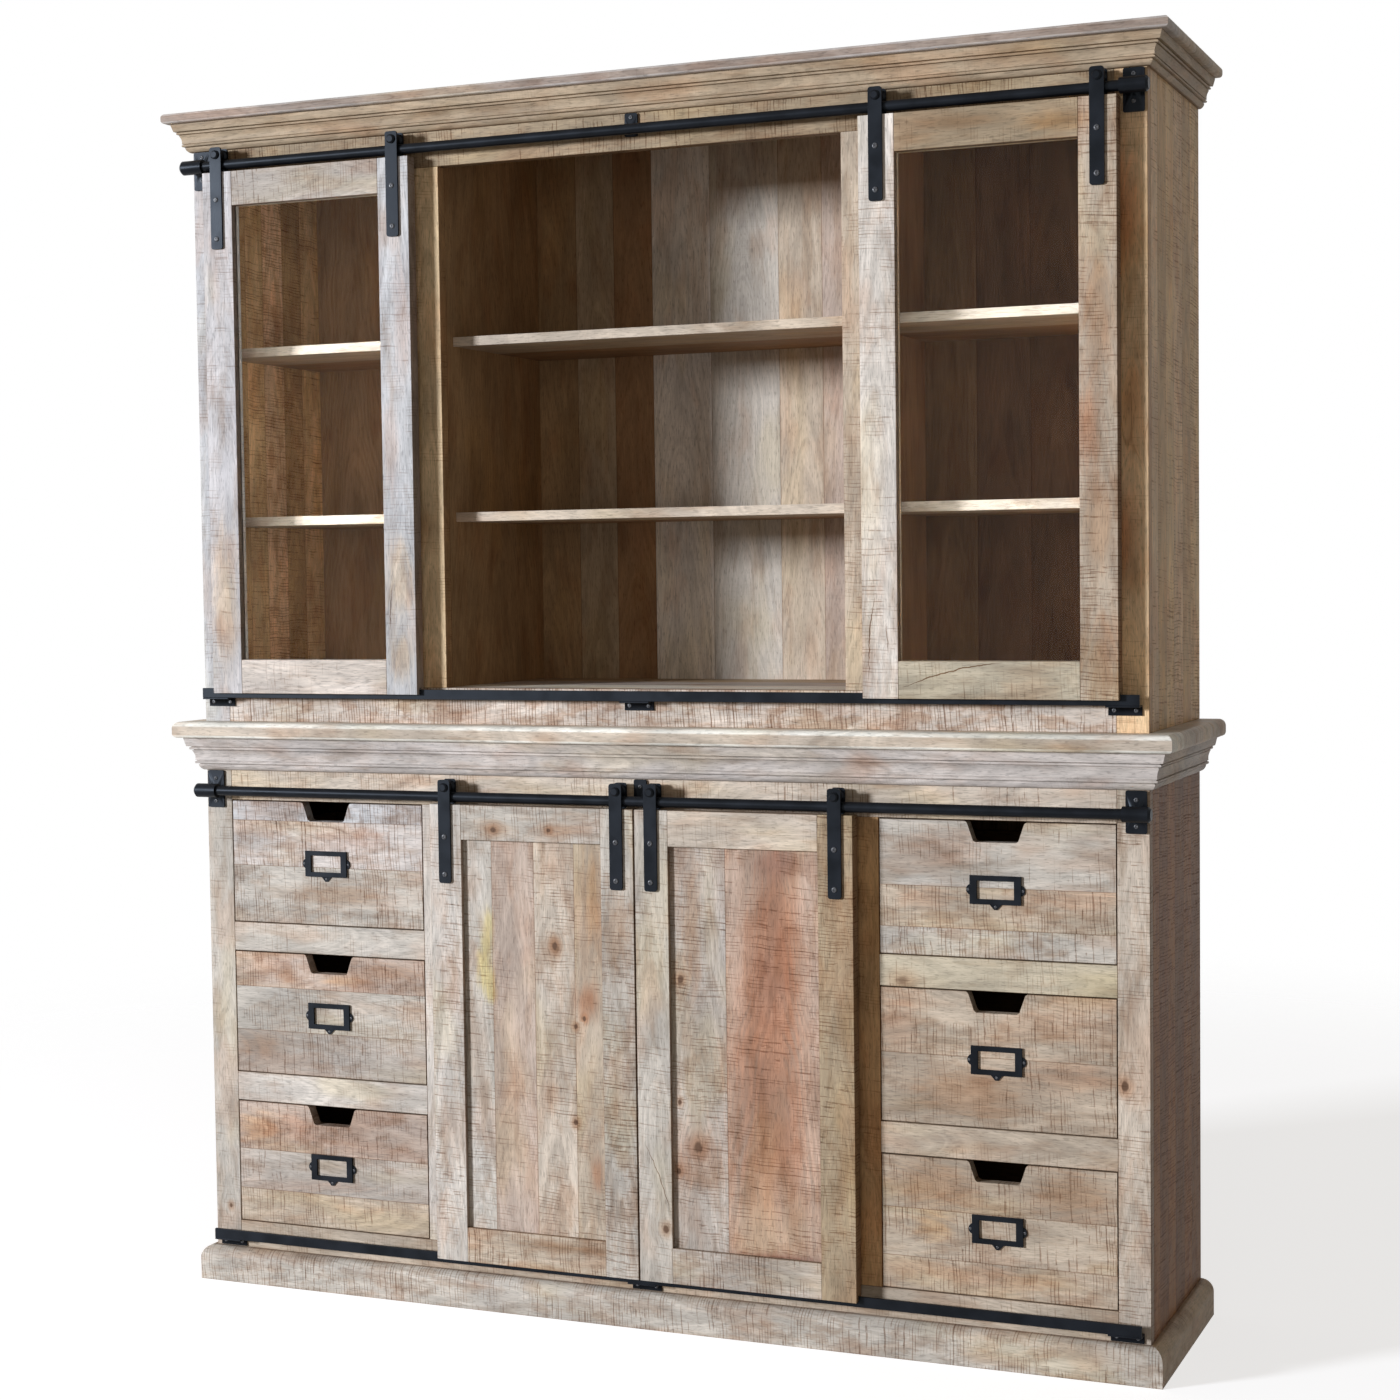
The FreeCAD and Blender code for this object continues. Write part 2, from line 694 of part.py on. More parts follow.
def panelled_door(name, x0, x1, foot, head):
    """Grooved stiles, rails with stub tenons as thick as the groove, and a floating panel."""
    thick = ("door_front_y", "door_back_y")
    slot = ("panel_y", "panel_y + panel_groove")
    left = "%s + door_stile_width" % x0
    right = "%s - door_stile_width" % x1
    lower = "%s + door_rail_height" % foot
    upper = "%s - door_rail_height" % head
    full = ("%s - overrun" % x0, "%s + overrun" % x1)
    frame = []
    for stile, run, grooved in (("west", (x0, left), (left + " - groove_depth", left + " + overrun")),
                                ("east", (right, x1), (right + " - overrun", right + " + groove_depth"))):
        part = "%s_%s_stile" % (name, stile)
        plain = board(part + "_board", run, thick, (foot, head))
        cleft = cut(part + "_cleft", plain,
                    board(part + "_groove", grooved, slot, (foot + " - overrun", head + " + overrun")))
        frame.append(cut(part, cleft, guide_groove(part + "_slot", full, foot)))
    for rail, run, grooved in (("lower", (foot, lower), (lower + " - groove_depth", lower + " + overrun")),
                               ("upper", (upper, head), (upper + " - overrun", upper + " + groove_depth"))):
        part = "%s_%s_rail" % (name, rail)
        middle = board(part + "_board", (left, right), thick, run)
        tenons = board(part + "_tenons", (left + " - groove_depth", right + " + groove_depth"), slot, run)
        whole = fuse(part + "_whole", middle, tenons)
        cleft = cut(part + "_cleft", whole, board(part + "_groove", full, slot, grooved))
        frame.append(cut(part, cleft, guide_groove(part + "_slot", full, foot)) if rail == "lower" else cleft)
    keep(name + "_frame", frame)
    margin = "groove_depth - panel_inset"
    keep(name + "_panel",
         [board(name + "_panel_board", ("%s - (%s)" % (left, margin), "%s + (%s)" % (right, margin)),
                ("panel_y + panel_play", "panel_y + panel_play + panel_thickness"),
                ("%s - (%s)" % (lower, margin), "%s + (%s)" % (upper, margin)))])


def glazed_door(name, x0, x1, foot, head):
    """Rabbeted stiles and rails that lap at the corners, a pane and four beads behind it."""
    lip = ("door_front_y", "lip_back_y")
    behind = ("lip_back_y", "door_back_y")
    left = "%s + door_stile_width" % x0
    right = "%s - door_stile_width" % x1
    lower = "%s + door_rail_height" % foot
    upper = "%s - door_rail_height" % head
    full = ("%s - overrun" % x0, "%s + overrun" % x1)
    frame = []
    for stile, run, backing in (("west", (x0, left), (x0, left + " - rabbet_width")),
                                ("east", (right, x1), (right + " + rabbet_width", x1))):
        part = "%s_%s_stile" % (name, stile)
        whole = fuse(part + "_whole", board(part + "_lip", run, lip, (foot, head)),
                     board(part + "_backing", backing, behind, (foot, head)))
        frame.append(cut(part, whole, guide_groove(part + "_slot", full, foot)))
    lapped = (left + " - rabbet_width", right + " + rabbet_width")
    for rail, run, backing in (("lower", (foot, lower), (foot, lower + " - rabbet_width")),
                               ("upper", (upper, head), (upper + " + rabbet_width", head))):
        part = "%s_%s_rail" % (name, rail)
        whole = fuse(part + "_whole", board(part + "_lip", (left, right), lip, run),
                     board(part + "_backing", lapped, behind, backing))
        frame.append(cut(part, whole, guide_groove(part + "_slot", full, foot)) if rail == "lower" else whole)
    bead_y = ("bead_front_y", "door_back_y")
    rise = (lower + " - rabbet_width", upper + " + rabbet_width")
    frame.append(board(name + "_west_bead", (lapped[0], left), bead_y, rise))
    frame.append(board(name + "_east_bead", (right, lapped[1]), bead_y, rise))
    frame.append(board(name + "_lower_bead", (left, right), bead_y, (rise[0], lower)))
    frame.append(board(name + "_upper_bead", (left, right), bead_y, (upper, rise[1])))
    keep(name + "_frame", frame)
    keep(name + "_glass", [board(name + "_pane", lapped, ("lip_back_y", "bead_front_y"), rise)])


def flat_plate(label, width, foot, head, thickness, hole_height):
    """An iron plate with rounded corners and one hole, standing in the XZ plane."""
    body = new_body(label)
    face = sketch_on(body, "XZ_Plane", label + "_face")
    outline(face, rectangle("-(%s) / 2" % width, foot, "(%s) / 2" % width, head))
    ring(face, "0", hole_height, "axle_radius + hole_play")
    plate = pad(body, face, thickness)

    def corner(edge):
        return runs_along_y(edge) and abs(edge.CenterOfMass.x) > amount(width) / 2 - SAME_PLACE

    round_edges(body, plate, corner, "strap_corner")
    return body


def axle_bolt(label):
    """A chamfered bolt through strap, roller and back plate, with its hexagon nut behind."""
    body = new_body(label)
    half = sketch_on(body, "XY_Plane", label + "_half")
    outline(half, [("0", "-bolt_head_height"),
                   ("bolt_head_radius - bolt_head_chamfer", "-bolt_head_height"),
                   ("bolt_head_radius", "bolt_head_chamfer - bolt_head_height"),
                   ("bolt_head_radius", "0"),
                   ("axle_radius", "0"),
                   ("axle_radius", "axle_length"),
                   ("0", "axle_length")])
    revolve(body, half, "Y_Axis")
    nut = sketch_on(body, "XZ_Plane", label + "_nut")
    nut.setExpression("AttachmentOffset.Base.z", formula("-axle_length"))
    flat = "nut_radius * sqrt(3) / 2"
    outline(nut, [("nut_radius", "0"), ("nut_radius / 2", flat), ("-nut_radius / 2", flat),
                  ("-nut_radius", "0"), ("-nut_radius / 2", "-" + flat), ("nut_radius / 2", "-" + flat)])
    pad(body, nut, "nut_height").Reversed = True
    return body


def roller(label, x, rod_height):
    """A grooved wheel whose groove floor and flanks all stand off the rod by the roller's play."""
    body = new_body(label)
    half = sketch_on(body, "XY_Plane", label + "_half")
    bore = "axle_radius + hole_play"
    outline(half, [(bore, "-roller_width / 2"),
                   ("roller_radius", "-roller_width / 2"),
                   ("roller_radius", "-groove_rim_half"),
                   ("groove_floor_radius", "-groove_floor_half"),
                   ("groove_floor_radius", "groove_floor_half"),
                   ("roller_radius", "groove_rim_half"),
                   ("roller_radius", "roller_width / 2"),
                   (bore, "roller_width / 2")])
    revolve(body, half, "Y_Axis")
    place(body, x, "rod_y", "%s + axle_rise" % rod_height)
    nodes[label] = body


def hangers(name, positions, rod_height):
    """Two hangers and two rollers, each centred on one of the door's stiles."""
    irons = []
    for end, x in positions.items():
        part = "%s_%s" % (name, end)
        strap = flat_plate(part + "_strap", "strap_width", "-strap_length", "0", "strap_thickness",
                           "-axle_to_strap_end")
        place(strap, x, "door_front_y", "%s + strap_rise" % rod_height)
        plate = flat_plate(part + "_back_plate", "strap_width", "-plate_height", "0", "plate_thickness",
                           "-axle_to_strap_end")
        place(plate, x, "plate_back_y", "%s + strap_rise" % rod_height)
        bolt = axle_bolt(part + "_axle_bolt")
        place(bolt, x, "strap_front_y", "%s + axle_rise" % rod_height)
        irons += [strap, plate, bolt]
        roller(part + "_roller", x, rod_height)
    keep(name + "_hangers", irons)


def doors():
    runs = {"buffet": ("meeting_gap / 2", "half_centre + buffet_door_lap"),
            "hutch": ("bank_near - hutch_door_inner_lap", "bank_far + hutch_door_outer_lap")}
    makers = {"buffet": panelled_door, "hutch": glazed_door}
    for unit, (inner, outer) in runs.items():
        rod_height = unit + "_rod_height"
        foot = unit + "_guide_height + guide_cover"
        head = rod_height + " - rod_over_door"
        for side in SIDES:
            name = "%s_%s_door" % (side, unit)
            x0, x1 = across(side, inner, outer)
            makers[unit](name, x0, x1, foot, head)
            positions = {"inner": outwards(side, "(%s) + door_stile_width / 2" % inner),
                         "outer": outwards(side, "(%s) - door_stile_width / 2" % outer)}
            hangers(name, positions, rod_height)


# Rails, brackets and guides


def end_bracket(label, side, rod_height, ceiling):
    """A screw plate, a stand-off post and a closed socket that holds one end of a rod."""
    body = new_body(label)
    inner = outwards(side, "-socket_length")
    plate = sketch_on(body, "XZ_Plane", label + "_plate")
    plate.setExpression("AttachmentOffset.Base.z", formula("-rod_standoff"))
    head = "%s - bracket_headroom - %s" % (ceiling, rod_height)
    edges = across(side, "-socket_length", "bracket_width - socket_length")
    outline(plate, rectangle(edges[0], "%s - bracket_height" % head, edges[1], head))
    round_edges(body, pad(body, plate, "bracket_thickness"), runs_along_y, "bracket_corner")
    post = sketch_on(body, "XZ_Plane", label + "_post")
    post.setExpression("AttachmentOffset.Base.z", formula("-rod_standoff"))
    ring(post, outwards(side, "(bracket_width - 2 * socket_length) / 2"), "0", "bracket_post_radius")
    pad(body, post, "rod_standoff - rod_radius - socket_play")
    socket = sketch_on(body, "XY_Plane", label + "_socket")
    bore = "rod_radius + socket_play"
    shoulder = outwards(side, "-socket_chamfer")
    blind = outwards(side, "-socket_wall")
    outline(socket, [("0", "0"),
                     ("0", "socket_radius - socket_chamfer"),
                     (shoulder, "socket_radius"),
                     (inner, "socket_radius"),
                     (inner, bore),
                     (blind, bore),
                     (blind, "0")])
    revolve(body, socket, "X_Axis")
    place(body, outwards(side, "half_width + socket_overhang"), "rod_y", rod_height)
    return body


def centre_bracket(label, rod_height, ceiling):
    """A screw plate and a post whose end is hollowed to cradle the rod from behind."""
    body = new_body(label)
    plate = sketch_on(body, "XZ_Plane", label + "_plate")
    plate.setExpression("AttachmentOffset.Base.z", formula("-rod_standoff"))
    head = "%s - bracket_headroom - %s" % (ceiling, rod_height)
    outline(plate, rectangle("-saddle_width / 2", "-rod_radius", "saddle_width / 2", head))
    round_edges(body, pad(body, plate, "bracket_thickness"), runs_along_y, "bracket_corner")
    post = sketch_on(body, "XZ_Plane", label + "_post")
    post.setExpression("AttachmentOffset.Base.z", formula("-rod_standoff"))
    ring(post, "0", "0", "saddle_post_radius")
    pad(body, post, "rod_standoff")
    cradle = sketch_on(body, "YZ_Plane", label + "_cradle")
    ring(cradle, "0", "0", "rod_radius + socket_play")
    hollow = body.newObject("PartDesign::Pocket", label + "_hollow")
    hollow.Profile = cradle
    hollow.Type = "ThroughAll"
    hollow.Midplane = True
    place(body, "0", "rod_y", rod_height)
    return body


def guide_clip(label, x, height):
    """An L-shaped clip: a screw plate on the face frame and a ledge under the bar."""
    body = new_body(label)
    section = sketch_on(body, "YZ_Plane", label + "_section")
    reach = "face_y - guide_y + guide_bar_thickness / 2"
    outline(section, [("-(%s)" % reach, "-clip_thickness"),
                      ("-clip_thickness", "-clip_thickness"),
                      ("-clip_thickness", "-clip_height"),
                      ("0", "-clip_height"),
                      ("0", "0"),
                      ("-(%s)" % reach, "0")])
    pad(body, section, "clip_width")
    place(body, "%s - clip_width / 2" % x, "face_y", height)
    return body


def hardware():
    rods, brackets, guides = [], [], []
    end = "half_width + socket_overhang - socket_wall - socket_play"
    clip_x = "guide_bar_length / 2 - clip_width / 2"
    ceilings = {"buffet": "cornice_bottom", "hutch": "crown_cornice_bottom"}
    for unit, ceiling in ceilings.items():
        rod_height = unit + "_rod_height"
        rod = doc.addObject("Part::Cylinder", unit + "_rod")
        rod.setExpression("Radius", formula("rod_radius"))
        rod.setExpression("Height", formula("2 * (%s)" % end))
        place(rod, "-(%s)" % end, "rod_y", rod_height)
        rod.Placement.Rotation = Rotation(Vector(0, 1, 0), 90)
        rods.append(rod)
        for side in SIDES:
            brackets.append(end_bracket("%s_%s_bracket" % (unit, side), side, rod_height, ceiling))
        brackets.append(centre_bracket(unit + "_centre_bracket", rod_height, ceiling))
        guide_height = unit + "_guide_height"
        guides.append(board(unit + "_guide_bar", ("-guide_bar_length / 2", "guide_bar_length / 2"),
                            ("guide_y - guide_bar_thickness / 2", "guide_y + guide_bar_thickness / 2"),
                            (guide_height, guide_height + " + guide_bar_height")))
        for spot, x in (("left", "-(%s)" % clip_x), ("centre", "0"), ("right", clip_x)):
            guides.append(guide_clip("%s_%s_clip" % (unit, spot), x, guide_height))
    keep("door_rails", rods)
    keep("rail_brackets", brackets)
    keep("door_guides", guides)


def check_and_write():
    """Stop on any failed object or bad shape, then write one file for each sub-part."""
    doc.recompute()
    for item in doc.Objects:
        if "Invalid" in item.State or "Error" in item.State:
            raise RuntimeError("%s did not build: %s" % (item.Label, item.State))
    for label, node in nodes.items():
        if node.Shape.isNull() or not node.Shape.isValid():
            raise RuntimeError("%s has a bad shape" % label)
    os.makedirs("parts", exist_ok=True)
    for label, node in nodes.items():
        node.Shape.exportStep("parts/%s.step" % label)
    print("%d sub-parts, %d solids" % (len(nodes), sum(len(node.Shape.Solids) for node in nodes.values())))


mitred_trim("plinth", plinth_profile(), "plinth_thickness", "0")
carcass()
face_frames()
shelves()
slab("buffet_top", "worktop_overhang", "worktop_under", "worktop_thickness",
     "worktop_upper_radius", "worktop_lower_radius")
slab("hutch_top", "crown_overhang", "crown_under", "crown_thickness",
     "crown_upper_radius", "crown_lower_radius")
mitred_trim("buffet_cornice", cornice_profile("cornice_projection", "cornice_height"),
            "cornice_projection", "cornice_bottom")
mitred_trim("hutch_cornice", cornice_profile("crown_cornice_projection", "crown_cornice_height"),
            "crown_cornice_projection", "crown_cornice_bottom")
drawers()
doors()
hardware()
check_and_write()
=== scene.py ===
import json
import math
import random

import bmesh
import bpy
from mathutils import Matrix, Vector
from mathutils.bvhtree import BVHTree

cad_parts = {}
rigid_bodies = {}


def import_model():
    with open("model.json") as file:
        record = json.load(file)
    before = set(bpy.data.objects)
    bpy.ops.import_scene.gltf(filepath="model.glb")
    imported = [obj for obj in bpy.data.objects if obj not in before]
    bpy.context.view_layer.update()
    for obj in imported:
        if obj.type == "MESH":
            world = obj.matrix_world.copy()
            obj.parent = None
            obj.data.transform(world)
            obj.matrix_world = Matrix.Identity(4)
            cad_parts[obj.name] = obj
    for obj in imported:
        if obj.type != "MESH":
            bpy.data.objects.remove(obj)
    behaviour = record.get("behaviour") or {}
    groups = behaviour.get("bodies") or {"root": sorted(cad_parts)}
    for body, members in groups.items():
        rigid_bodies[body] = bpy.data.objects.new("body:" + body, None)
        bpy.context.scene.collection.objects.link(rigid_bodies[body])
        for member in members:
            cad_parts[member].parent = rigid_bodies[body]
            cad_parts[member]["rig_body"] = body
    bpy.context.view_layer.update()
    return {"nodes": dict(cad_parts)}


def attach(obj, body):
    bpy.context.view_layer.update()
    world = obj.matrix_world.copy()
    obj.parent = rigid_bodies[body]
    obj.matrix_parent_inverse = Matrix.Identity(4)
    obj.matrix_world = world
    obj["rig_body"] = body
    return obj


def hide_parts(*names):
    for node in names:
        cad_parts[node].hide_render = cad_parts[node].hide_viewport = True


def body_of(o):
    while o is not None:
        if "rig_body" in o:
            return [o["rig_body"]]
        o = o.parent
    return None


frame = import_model()

MM = 0.001
SEED = "plain sawn"
AXES = {"x": 0, "y": 1, "z": 2}
SIDES = {"left": -1.0, "right": 1.0}

# Wood tones, as linear red, green and blue
TONES = {
    "ivory": (0.87, 0.82, 0.71),
    # The next tone is pale, and paints light on a board of the hutch's back that lies in the shadow of the
    # left door and partition.
    "lit_chalk": (0.80, 0.745, 0.68),
    "bone": (0.69, 0.615, 0.53),
    "blush": (0.66, 0.565, 0.475),
    # The next two tones are bluish greys that paint a window's sheen on boards at the left.
    "sheen_silver": (0.50, 0.485, 0.47),
    "sheen_frost": (0.54, 0.505, 0.485),
    "linen": (0.50, 0.445, 0.375),
    "white": (0.60, 0.535, 0.46),
    "cream": (0.555, 0.465, 0.37),
    "beige": (0.50, 0.405, 0.305),
    "tan": (0.44, 0.335, 0.225),
    "ash": (0.54, 0.48, 0.43),
    "grey": (0.45, 0.39, 0.33),
    "pink": (0.48, 0.375, 0.30),
    "rose": (0.46, 0.33, 0.245),
    "sand": (0.65, 0.475, 0.28),
    # The next three tones are light and golden, and paint light into the shade on the hutch's sides and its
    # right outer stile.
    "lit_gold": (0.78, 0.545, 0.285),
    "lit_oak": (0.57, 0.375, 0.18),
    "lit_wheat": (0.82, 0.58, 0.345),
    "taupe": (0.445, 0.355, 0.265),
    "straw": (0.47, 0.40, 0.29),
    "drab": (0.37, 0.28, 0.18),
    # The next tone is a deep orange brown that paints the shade a door casts on the stile beside it.
    "shaded_copper": (0.56, 0.335, 0.16),
    "amber": (0.41, 0.27, 0.145),
    "brown": (0.32, 0.19, 0.10),
    "umber": (0.20, 0.112, 0.056),
    # The next two tones are very dark, and paint the shade on the buffet's sides.
    "shaded_cocoa": (0.255, 0.115, 0.036),
    "shaded_peat": (0.18, 0.082, 0.027),
    "dark": (0.13, 0.07, 0.038),
}

# Stains, as factors on the wood's own colour
STAINS = {
    "rust": (0.84, 0.60, 0.49),
    "orange": (1.00, 0.85, 0.68),
    "yellow": (1.04, 0.96, 0.58),
    "brown": (0.78, 0.66, 0.57),
    "plum": (0.62, 0.50, 0.50),
    "pale": (1.14, 1.17, 1.21),
    "rosy": (0.97, 0.85, 0.79),
}

# How placed stains, knots and cracks spread over the points of a board
STAIN_STEP = 9.0 * MM
STAIN_FALL = 0.7
STAIN_LEAST = 1e-4
NO_STAIN = (1.0, 1.0, 1.0, 0.0)
KNOT_LENGTH = 1.3
NO_KNOT = (50.0, 50.0, 0.0)
NO_CRACK = (1.0, 0.0, 0.0)

# What each corner of a board tells the shader, and how it is kept
ATTRIBUTES = {
    "grain": ("FLOAT_VECTOR", "vector"),
    "tone": ("FLOAT_COLOR", "color"),
    "seam": ("FLOAT_VECTOR", "vector"),
    "stain": ("FLOAT_COLOR", "color"),
    "knot": ("FLOAT_VECTOR", "vector"),
    "crack": ("FLOAT_VECTOR", "vector"),
}

# Chance in each strip: the shift of its grain in metres, and factors on its tone and its saw marks
SHIFT_MOST = 60.0
TONE_SPREAD = (0.95, 1.05)
SAW_SPREAD = (0.7, 1.3)

# Bevels on the boards and the ironwork
BOARD_EDGE = 1.0 * MM
MOULDING_EDGE = 0.35 * MM
IRON_EDGE = 0.7 * MM
BEVEL_STEPS = 2
BEVEL_PROFILE = 0.5
SHARP_ANGLE = math.radians(28.0)

# Limits of the mesh work
FLAT_ANGLE = math.radians(0.4)
SPOT_DIGITS = 6
CUT_TOLERANCE = 1e-7
FACE_WEIGHT = 100


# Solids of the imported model

def split_solids(mesh):
    """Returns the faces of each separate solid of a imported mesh, as lists of corner positions."""
    spots = [tuple(round(c, SPOT_DIGITS) for c in v.co) for v in mesh.vertices]
    parent = list(range(len(mesh.polygons)))

    def root(i):
        while parent[i] != i:
            parent[i] = parent[parent[i]]
            i = parent[i]
        return i

    waiting = {}
    for polygon in mesh.polygons:
        corners = [spots[v] for v in polygon.vertices]
        for start, end in zip(corners, corners[1:] + corners[:1]):
            partners = waiting.get((end, start))
            if partners:
                parent[root(polygon.index)] = root(partners.pop())
            else:
                waiting.setdefault((start, end), []).append(polygon.index)
    groups = {}
    for polygon in mesh.polygons:
        corners = [spots[v] for v in polygon.vertices]
        groups.setdefault(root(polygon.index), []).append(corners)
    return list(groups.values())


def solid_mesh(faces):
    """Builds a closed bmesh from one solid's faces and merges its flat triangles."""
    bm = bmesh.new()
    made = {}
    for corners in faces:
        for spot in corners:
            if spot not in made:
                made[spot] = bm.verts.new(spot)
        if len(set(corners)) == len(corners):
            bm.faces.new([made[spot] for spot in corners])
    bmesh.ops.dissolve_limit(bm, angle_limit=FLAT_ANGLE, verts=bm.verts, edges=bm.edges)
    bmesh.ops.recalc_face_normals(bm, faces=bm.faces)
    return bm


def soften(bm, size):
    """Rounds the outer sharp edges."""
    edges = []
    for edge in bm.edges:
        if len(edge.link_faces) == 2 and edge.is_convex and edge.calc_face_angle() > SHARP_ANGLE:
            edges.append(edge)
    bmesh.ops.bevel(bm, geom=edges, offset=size, offset_type="OFFSET", segments=BEVEL_STEPS,
                    profile=BEVEL_PROFILE, affect="EDGES", clamp_overlap=True)


def extent(bm):
    """Lowest and highest corner of a bmesh."""
    low = Vector(min(v.co[i] for v in bm.verts) for i in range(3))
    high = Vector(max(v.co[i] for v in bm.verts) for i in range(3))
    return low, high


def cut(bm, axis, place):
    """Adds a line of edges round a solid where a plane crosses it."""
    normal = Vector((0.0, 0.0, 0.0))
    normal[axis] = 1.0
    point = normal * place
    geom = bm.verts[:] + bm.edges[:] + bm.faces[:]
    bmesh.ops.bisect_plane(bm, geom=geom, dist=CUT_TOLERANCE, plane_co=point, plane_no=normal)


# Boards

def strip_values(count, tones, saw, seed):
    """Shift of the grain, tone and saw marks of each glued strip in a board."""
    strips = []
    for number in range(count):
        rng = random.Random(f"{SEED} {seed} {number}")
        shift = Vector([rng.uniform(0.0, SHIFT_MOST) for _ in range(3)])
        tone = Vector(TONES[tones[number % len(tones)]]) * rng.uniform(*TONE_SPREAD)
        strips.append((shift, tone, saw * rng.uniform(*SAW_SPREAD)))
    return strips


class Boards:
    """Collects boards into one mesh, with the values by which the wood is coloured."""

    def __init__(self, stains, knots, cracks):
        self.stains = stains
        self.knots = knots
        self.cracks = cracks
        self.points = []
        self.faces = []
        self.values = {title: [] for title in ATTRIBUTES}

    def add(self, bm, along, across, edges, tones, saw, seed):
        """Takes one solid; edges are the places where its glued strips begin and end."""
        depth = 3 - along - across
        strips = strip_values(len(edges) - 1, tones, saw, seed)
        first = len(self.points)
        bm.verts.index_update()
        self.points += [tuple(v.co) for v in bm.verts]
        marks = [self.stain_at(v.co) for v in bm.verts]
        for face in bm.faces:
            centre = face.calc_center_median()
            number = 0
            while number < len(edges) - 2 and centre[across] > edges[number + 1]:
                number += 1
            shift, tone, cuts = strips[number]
            knot = self.knot_near(centre)
            crack = self.crack_near(centre)
            self.faces.append([first + v.index for v in face.verts])
            for vert in face.verts:
                co = vert.co
                corner = {
                    "grain": (co[along] + shift[0], co[across] + shift[1], co[depth] + shift[2]),
                    "tone": (*tone, 1.0),
                    "seam": (co[across] - edges[number], edges[number + 1] - co[across], cuts),
                    "stain": marks[vert.index],
                    "knot": self.from_knot(co, knot, along, across),
                    "crack": self.from_crack(co, crack),
                }
                for title, value in corner.items():
                    self.values[title] += value

    def stain_at(self, co):
        """Mean colour and joint strength of the stains at a point, seen from the front."""
        total = 0.0
        bare = 1.0
        mean = Vector((0.0, 0.0, 0.0))
        for x, z, half_x, half_z, name in self.stains:
            far = ((co.x - x * MM) / (half_x * MM)) ** 2 + ((co.z - z * MM) / (half_z * MM)) ** 2
            weight = math.exp(-STAIN_FALL * far)
            total += weight
            bare *= 1.0 - weight
            mean += weight * Vector(STAINS[name])
        if total < STAIN_LEAST:
            return NO_STAIN
        return (*(mean / total), 1.0 - bare)

    def knot_near(self, point):
        """The placed knot that lies nearest to a point, seen from the front."""
        def far(knot):
            return (point.x - knot[0] * MM) ** 2 + (point.z - knot[1] * MM) ** 2

        return min(self.knots, key=far, default=None)

    def from_knot(self, co, knot, along, across):
        """Steps from a knot along and across the grain, in knot radii, and the radius itself."""
        if knot is None:
            return NO_KNOT
        x, z, radius = (value * MM for value in knot)
        step = Vector((co.x - x, 0.0, co.z - z))
        return (step[along] / (radius * KNOT_LENGTH), step[across] / radius, radius)

    def from_crack(self, co, crack):
        """Steps off a crack in metres and along it from -1 to 1, and its half width in metres."""
        if crack is None:
            return NO_CRACK
        x0, z0, x1, z1, bow, width = (value * MM for value in crack)
        middle = Vector(((x0 + x1) / 2.0, (z0 + z1) / 2.0))
        half = Vector((x1 - x0, z1 - z0)) / 2.0
        step = Vector((co.x, co.z)) - middle
        share = step.dot(half) / half.length_squared
        off = (step.x * half.y - step.y * half.x) / half.length
        return (off - bow * (1.0 - share * share), share, width / 2.0)

    def crack_near(self, point):
        """The placed crack that lies nearest to a point, seen from the front."""
        def far(crack):
            off, share, _ = self.from_crack(point, crack)
            return abs(off) + max(abs(share) - 1.0, 0.0)

        return min(self.cracks, key=far, default=None)

    def build(self, name):
        """Makes the piece and hands the values to the shader as attributes."""
        mesh = bpy.data.meshes.new(name)
        mesh.from_pydata(self.points, [], self.faces)
        for title, (kind, field) in ATTRIBUTES.items():
            layer = mesh.attributes.new(title, kind, "CORNER")
            layer.data.foreach_set(field, self.values[title])
        return finished(name, mesh)


def finished(name, mesh):
    """Makes an object of a mesh, with smooth shading that keeps the flat faces flat."""
    mesh.update()
    mesh.polygons.foreach_set("use_smooth", [True] * len(mesh.polygons))
    piece = bpy.data.objects.new(name, mesh)
    bpy.context.scene.collection.objects.link(piece)
    weighted = piece.modifiers.new("even shading", "WEIGHTED_NORMAL")
    weighted.weight = FACE_WEIGHT
    weighted.keep_sharp = True
    return piece


def place(piece, node, material, slot):
    """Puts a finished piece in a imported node's stead."""
    piece.data.materials.append(material)
    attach(piece, body_of(frame["nodes"][node])[0])
    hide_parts(node)


def picked_board(picks, low, high):
    """Tone and saw marks chosen for the board that lies at a place on the front."""
    for x, z, tone, saw in picks:
        if low.x <= x * MM <= high.x and low.z <= z * MM <= high.z:
            return tone, saw
    return None


def cut_grid(bm, low, size):
    """Divides a board finely enough to carry its placed stains, knots and cracks."""
    for axis in (AXES["x"], AXES["z"]):
        for step in range(1, int(size[axis] / STAIN_STEP)):
            cut(bm, axis, low[axis] + step * STAIN_STEP)


def grain_axes(size, grain, strips):
    """The axes along the fibres of a board and across its strips."""
    along = AXES[grain] if grain else max(range(3), key=lambda i: size[i])
    if strips:
        return along, AXES[strips[0]]
    return along, max((i for i in range(3) if i != along), key=lambda i: size[i])


